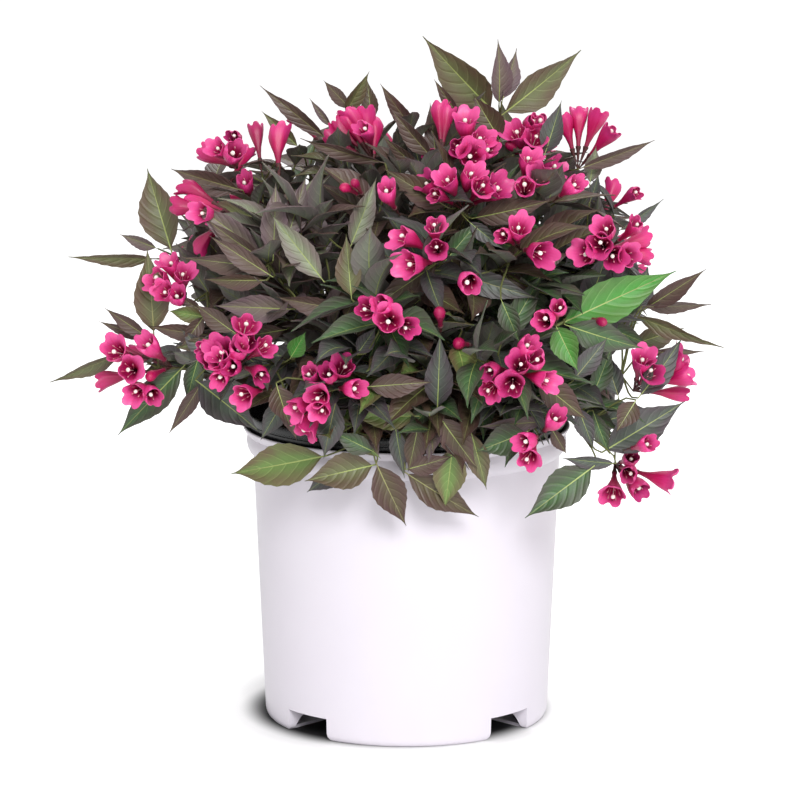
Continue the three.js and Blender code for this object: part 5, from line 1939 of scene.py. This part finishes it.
class WEIGELA_OT_leaves(Operator):
    """Leaves in opposite pairs, joined side by side of the crown, their tints dealt out by spray"""

    bl_idname = "weigela.leaves"
    bl_label = "Leaves"

    def execute(self, context):
        forms = {True: leaf_form(18, 4, True), False: leaf_form(8, 2, False)}
        looks = leaf_looks()
        under = len(TINT_ORDER)

        def finishes(leaf):
            bright = leaf.tint in GREEN_TINTS or own_draw(leaf, "bright") < BRIGHT_SHARE
            return TINT_ORDER.index(leaf.tint), under, under + (1 if bright else 2)

        for side in SIDES:
            batches = []
            for leading, form in forms.items():
                leaves = [leaf for leaf in plant().leaves if leaf.side == side and leaf.leading == leading]
                if leaves:
                    own = np.array([finishes(leaf) for leaf in leaves])
                    batches.append((form, bent_leaves(form, leaves), own))
            finished(gathered(f"leaves_{side}", batches), looks, "foliage", *nodes_of(side))
        return {"FINISHED"}


class WEIGELA_OT_blossom(Operator):
    """Funnel flowers and buds in clusters at the ends of the stems"""

    bl_idname = "weigela.blossom"
    bl_label = "Blossom"

    def execute(self, context):
        settings = context.scene.weigela_plant
        near, far = LOBE_SIDES["near"], LOBE_SIDES["far"]
        forms = [
            flower_form("open_flower", OPEN_RINGS, CLEFT["open"], near),
            flower_form("half_open_flower", HALF_RINGS, CLEFT["half"], near),
            bud_form(),
            flower_form("far_open_flower", OPEN_RINGS[::2] + OPEN_RINGS[-1:], CLEFT["open"], far),
            flower_form("far_half_open_flower", HALF_RINGS[::2], CLEFT["half"], far),
        ]
        looks = [
            petal("petal_outside", srgb(0x980E44), tuple(settings.tube), tuple(settings.lobe)),
            petal("petal_inside", srgb(0x7A0D38), srgb(0xB81A62), srgb(0xE25398)),
            speckled("calyx", srgb(0x43181F), srgb(0x5C2C2A), 700.0, 0.6),
            speckled("stigma", srgb(0xFBF7F0), srgb(0xEFE6D8), 900.0, 0.6),
            speckled("anther", srgb(0xE8A9B4), srgb(0xD9869A), 900.0, 0.6),
            petal("deep_petal_outside", srgb(0x86093A), srgb(0xA60F50), srgb(0xBB2669)),
            petal("deep_petal_inside", srgb(0x6E0A32), srgb(0xA01453), srgb(0xC83A80)),
        ]

        def form_of(flower):
            own = int(own_draw(flower, "half") < HALF_SHARE)
            kind = FLOWER_KINDS.index(flower.kind) if flower.kind else own
            return kind if flower.leading or kind == 2 else kind + 3

        for side in SIDES:
            batches = []
            for k, form in enumerate(forms):
                own = [flower for flower in plant().flowers if flower.side == side and form_of(flower) == k]
                if own:
                    deep = [own_draw(flower, "deep") < DEEP_SHARE for flower in own]
                    finishes = np.array([(5, 6, 2, 3, 4) if deeper else (0, 1, 2, 3, 4) for deeper in deep])
                    batches.append((form, bent_flowers(form, own), finishes))
            finished(gathered(f"blossom_{side}", batches), looks, "foliage", *nodes_of(side))
        return {"FINISHED"}


# ---- stage


# Each lamp's place and size in metres, and its power.
LAMPS = {
    "key": ((0.35, -2.7, 1.9), (1.1, 0.9), 58),
    "fill": ((1.2, -2.6, 1.0), (1.0, 1.0), 10),
    "back": ((0.6, 2.2, 2.2), (2.0, 1.2), 24),
}
AIM = (0, 0, 0.3)
FLOOR = {"size": 24, "drop": 0.0002}
WORLD_LIGHT = 0.68
WHITE = (1.0, 1.0, 1.0)
# A painted contact shadow round the pot's foot, in metres: the middle of its dark patch, set off to the left
# and back, the radii over which the floor's colour runs from near black to white, and the radii over which
# its glow comes in.
FOOT_SHADE = {"middle": (0.008, -0.010, 0.0), "dark": (0.112, 0.138), "glow": (0.12, 0.2, 0.0, 0.42)}


class WEIGELA_OT_stage(Operator):
    """Pale floor with a painted shadow round the pot's foot, soft lights and the camera"""

    bl_idname = "weigela.stage"
    bl_label = "Stage"

    def execute(self, context):
        scene = context.scene
        settings = scene.weigela_stage
        cleared()
        bpy.ops.mesh.primitive_plane_add(size=FLOOR["size"], location=(0, 0, -FLOOR["drop"]))
        floor = started("floor")
        glow = functools.partial(self.glow, tuple(settings.floor))
        floor.data.materials.append(finish("floor_white", glow, Roughness=0.7))
        scene.world = world = bpy.data.worlds.new("studio")
        world.use_nodes = True
        tree = Tree(world.node_tree)
        background = world.node_tree.nodes["Background"]
        direct = tree.node("ShaderNodeLightPath").outputs["Is Camera Ray"]
        tree.put(background.inputs["Color"], WHITE)
        strength = tree.spread(direct, 0.0, 1.0, WORLD_LIGHT * settings.light, 1.0)
        tree.put(background.inputs["Strength"], strength)
        for name, (spot, size, power) in LAMPS.items():
            self.lamp(name, spot, size, power * settings.light)
        scene.view_settings.view_transform = "Standard"
        bpy.ops.object.camera_add(location=EYE * MM, rotation=(math.radians(90 - VIEW["tilt"]), 0, 0))
        scene.camera = camera = bpy.context.object
        camera.name = "camera"
        camera.data.lens = VIEW["lens"]
        camera.data.sensor_width = VIEW["sensor"]
        return {"FINISHED"}

    def glow(self, white, tree):
        """A painted contact shadow and a white glow that only the eye sees: the floor's colour is near black
        round the pot's foot, and the glow fades out near the pot, so the floor runs from painted shadow into
        a white backdrop.
        """
        direct = tree.node("ShaderNodeLightPath").outputs["Is Camera Ray"]
        moved = tree.node("ShaderNodeVectorMath", operation="ADD")
        tree.put(moved.inputs[0], tree.place())
        tree.put(moved.inputs[1], FOOT_SHADE["middle"])
        reach = tree.node("ShaderNodeVectorMath", operation="LENGTH")
        tree.put(reach.inputs[0], moved.outputs[0])
        # The glow fades out near the pot, so the floor is left darker round its foot, where shade falls.
        away = tree.spread(reach.outputs["Value"], *FOOT_SHADE["glow"])
        # Painted shadow: the floor's own colour is near black round the pot's foot and under its drain
        # pockets.
        dark = tree.spread(reach.outputs["Value"], *FOOT_SHADE["dark"])
        ground = tree.mix(dark, (0.004, 0.004, 0.005), white)
        strength = tree.math("MULTIPLY", direct, away)
        return {"Base Color": ground, "Emission Color": WHITE, "Emission Strength": strength}

    def lamp(self, name, spot, size, power):
        bpy.ops.object.light_add(type="AREA", location=spot)
        lamp = bpy.context.object
        lamp.name = name
        lamp.data.shape = "RECTANGLE"
        lamp.data.size, lamp.data.size_y = size
        lamp.data.energy = power
        lamp.rotation_euler = (Vector(AIM) - Vector(spot)).to_track_quat("-Z", "Y").to_euler()


# ---- panel and run

STEPS = ("outer_pot", "inner_pot", "soil", "bark", "twigs", "leaves", "blossom", "stage")


class WEIGELA_PT_panel(Panel):
    """Buttons for the pieces, in the order in which they are made"""

    bl_idname = "WEIGELA_PT_panel"
    bl_label = "Weigela"
    bl_space_type = "VIEW_3D"
    bl_region_type = "UI"
    bl_category = "Weigela"

    def draw(self, context):
        for place_of, settings in SETTINGS.items():
            for name in settings.__annotations__:
                self.layout.prop(getattr(context.scene, place_of), name)
        for step in STEPS:
            self.layout.operator(f"weigela.{step}")


CLASSES = (
    PotSettings, PlantSettings, StageSettings, WEIGELA_OT_outer_pot, WEIGELA_OT_inner_pot, WEIGELA_OT_soil,
    WEIGELA_OT_bark, WEIGELA_OT_twigs, WEIGELA_OT_leaves, WEIGELA_OT_blossom, WEIGELA_OT_stage,
    WEIGELA_PT_panel,
)
SETTINGS = {"weigela_pot": PotSettings, "weigela_plant": PlantSettings, "weigela_stage": StageSettings}


def register():
    for cls in CLASSES:
        bpy.utils.register_class(cls)
    for name, settings in SETTINGS.items():
        setattr(bpy.types.Scene, name, PointerProperty(type=settings))


def unregister():
    for name in SETTINGS:
        delattr(bpy.types.Scene, name)
    for cls in reversed(CLASSES):
        bpy.utils.unregister_class(cls)


def main():
    register()
    for step in STEPS:
        getattr(bpy.ops.weigela, step)()
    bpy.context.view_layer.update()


if __name__ == "__main__":
    main()
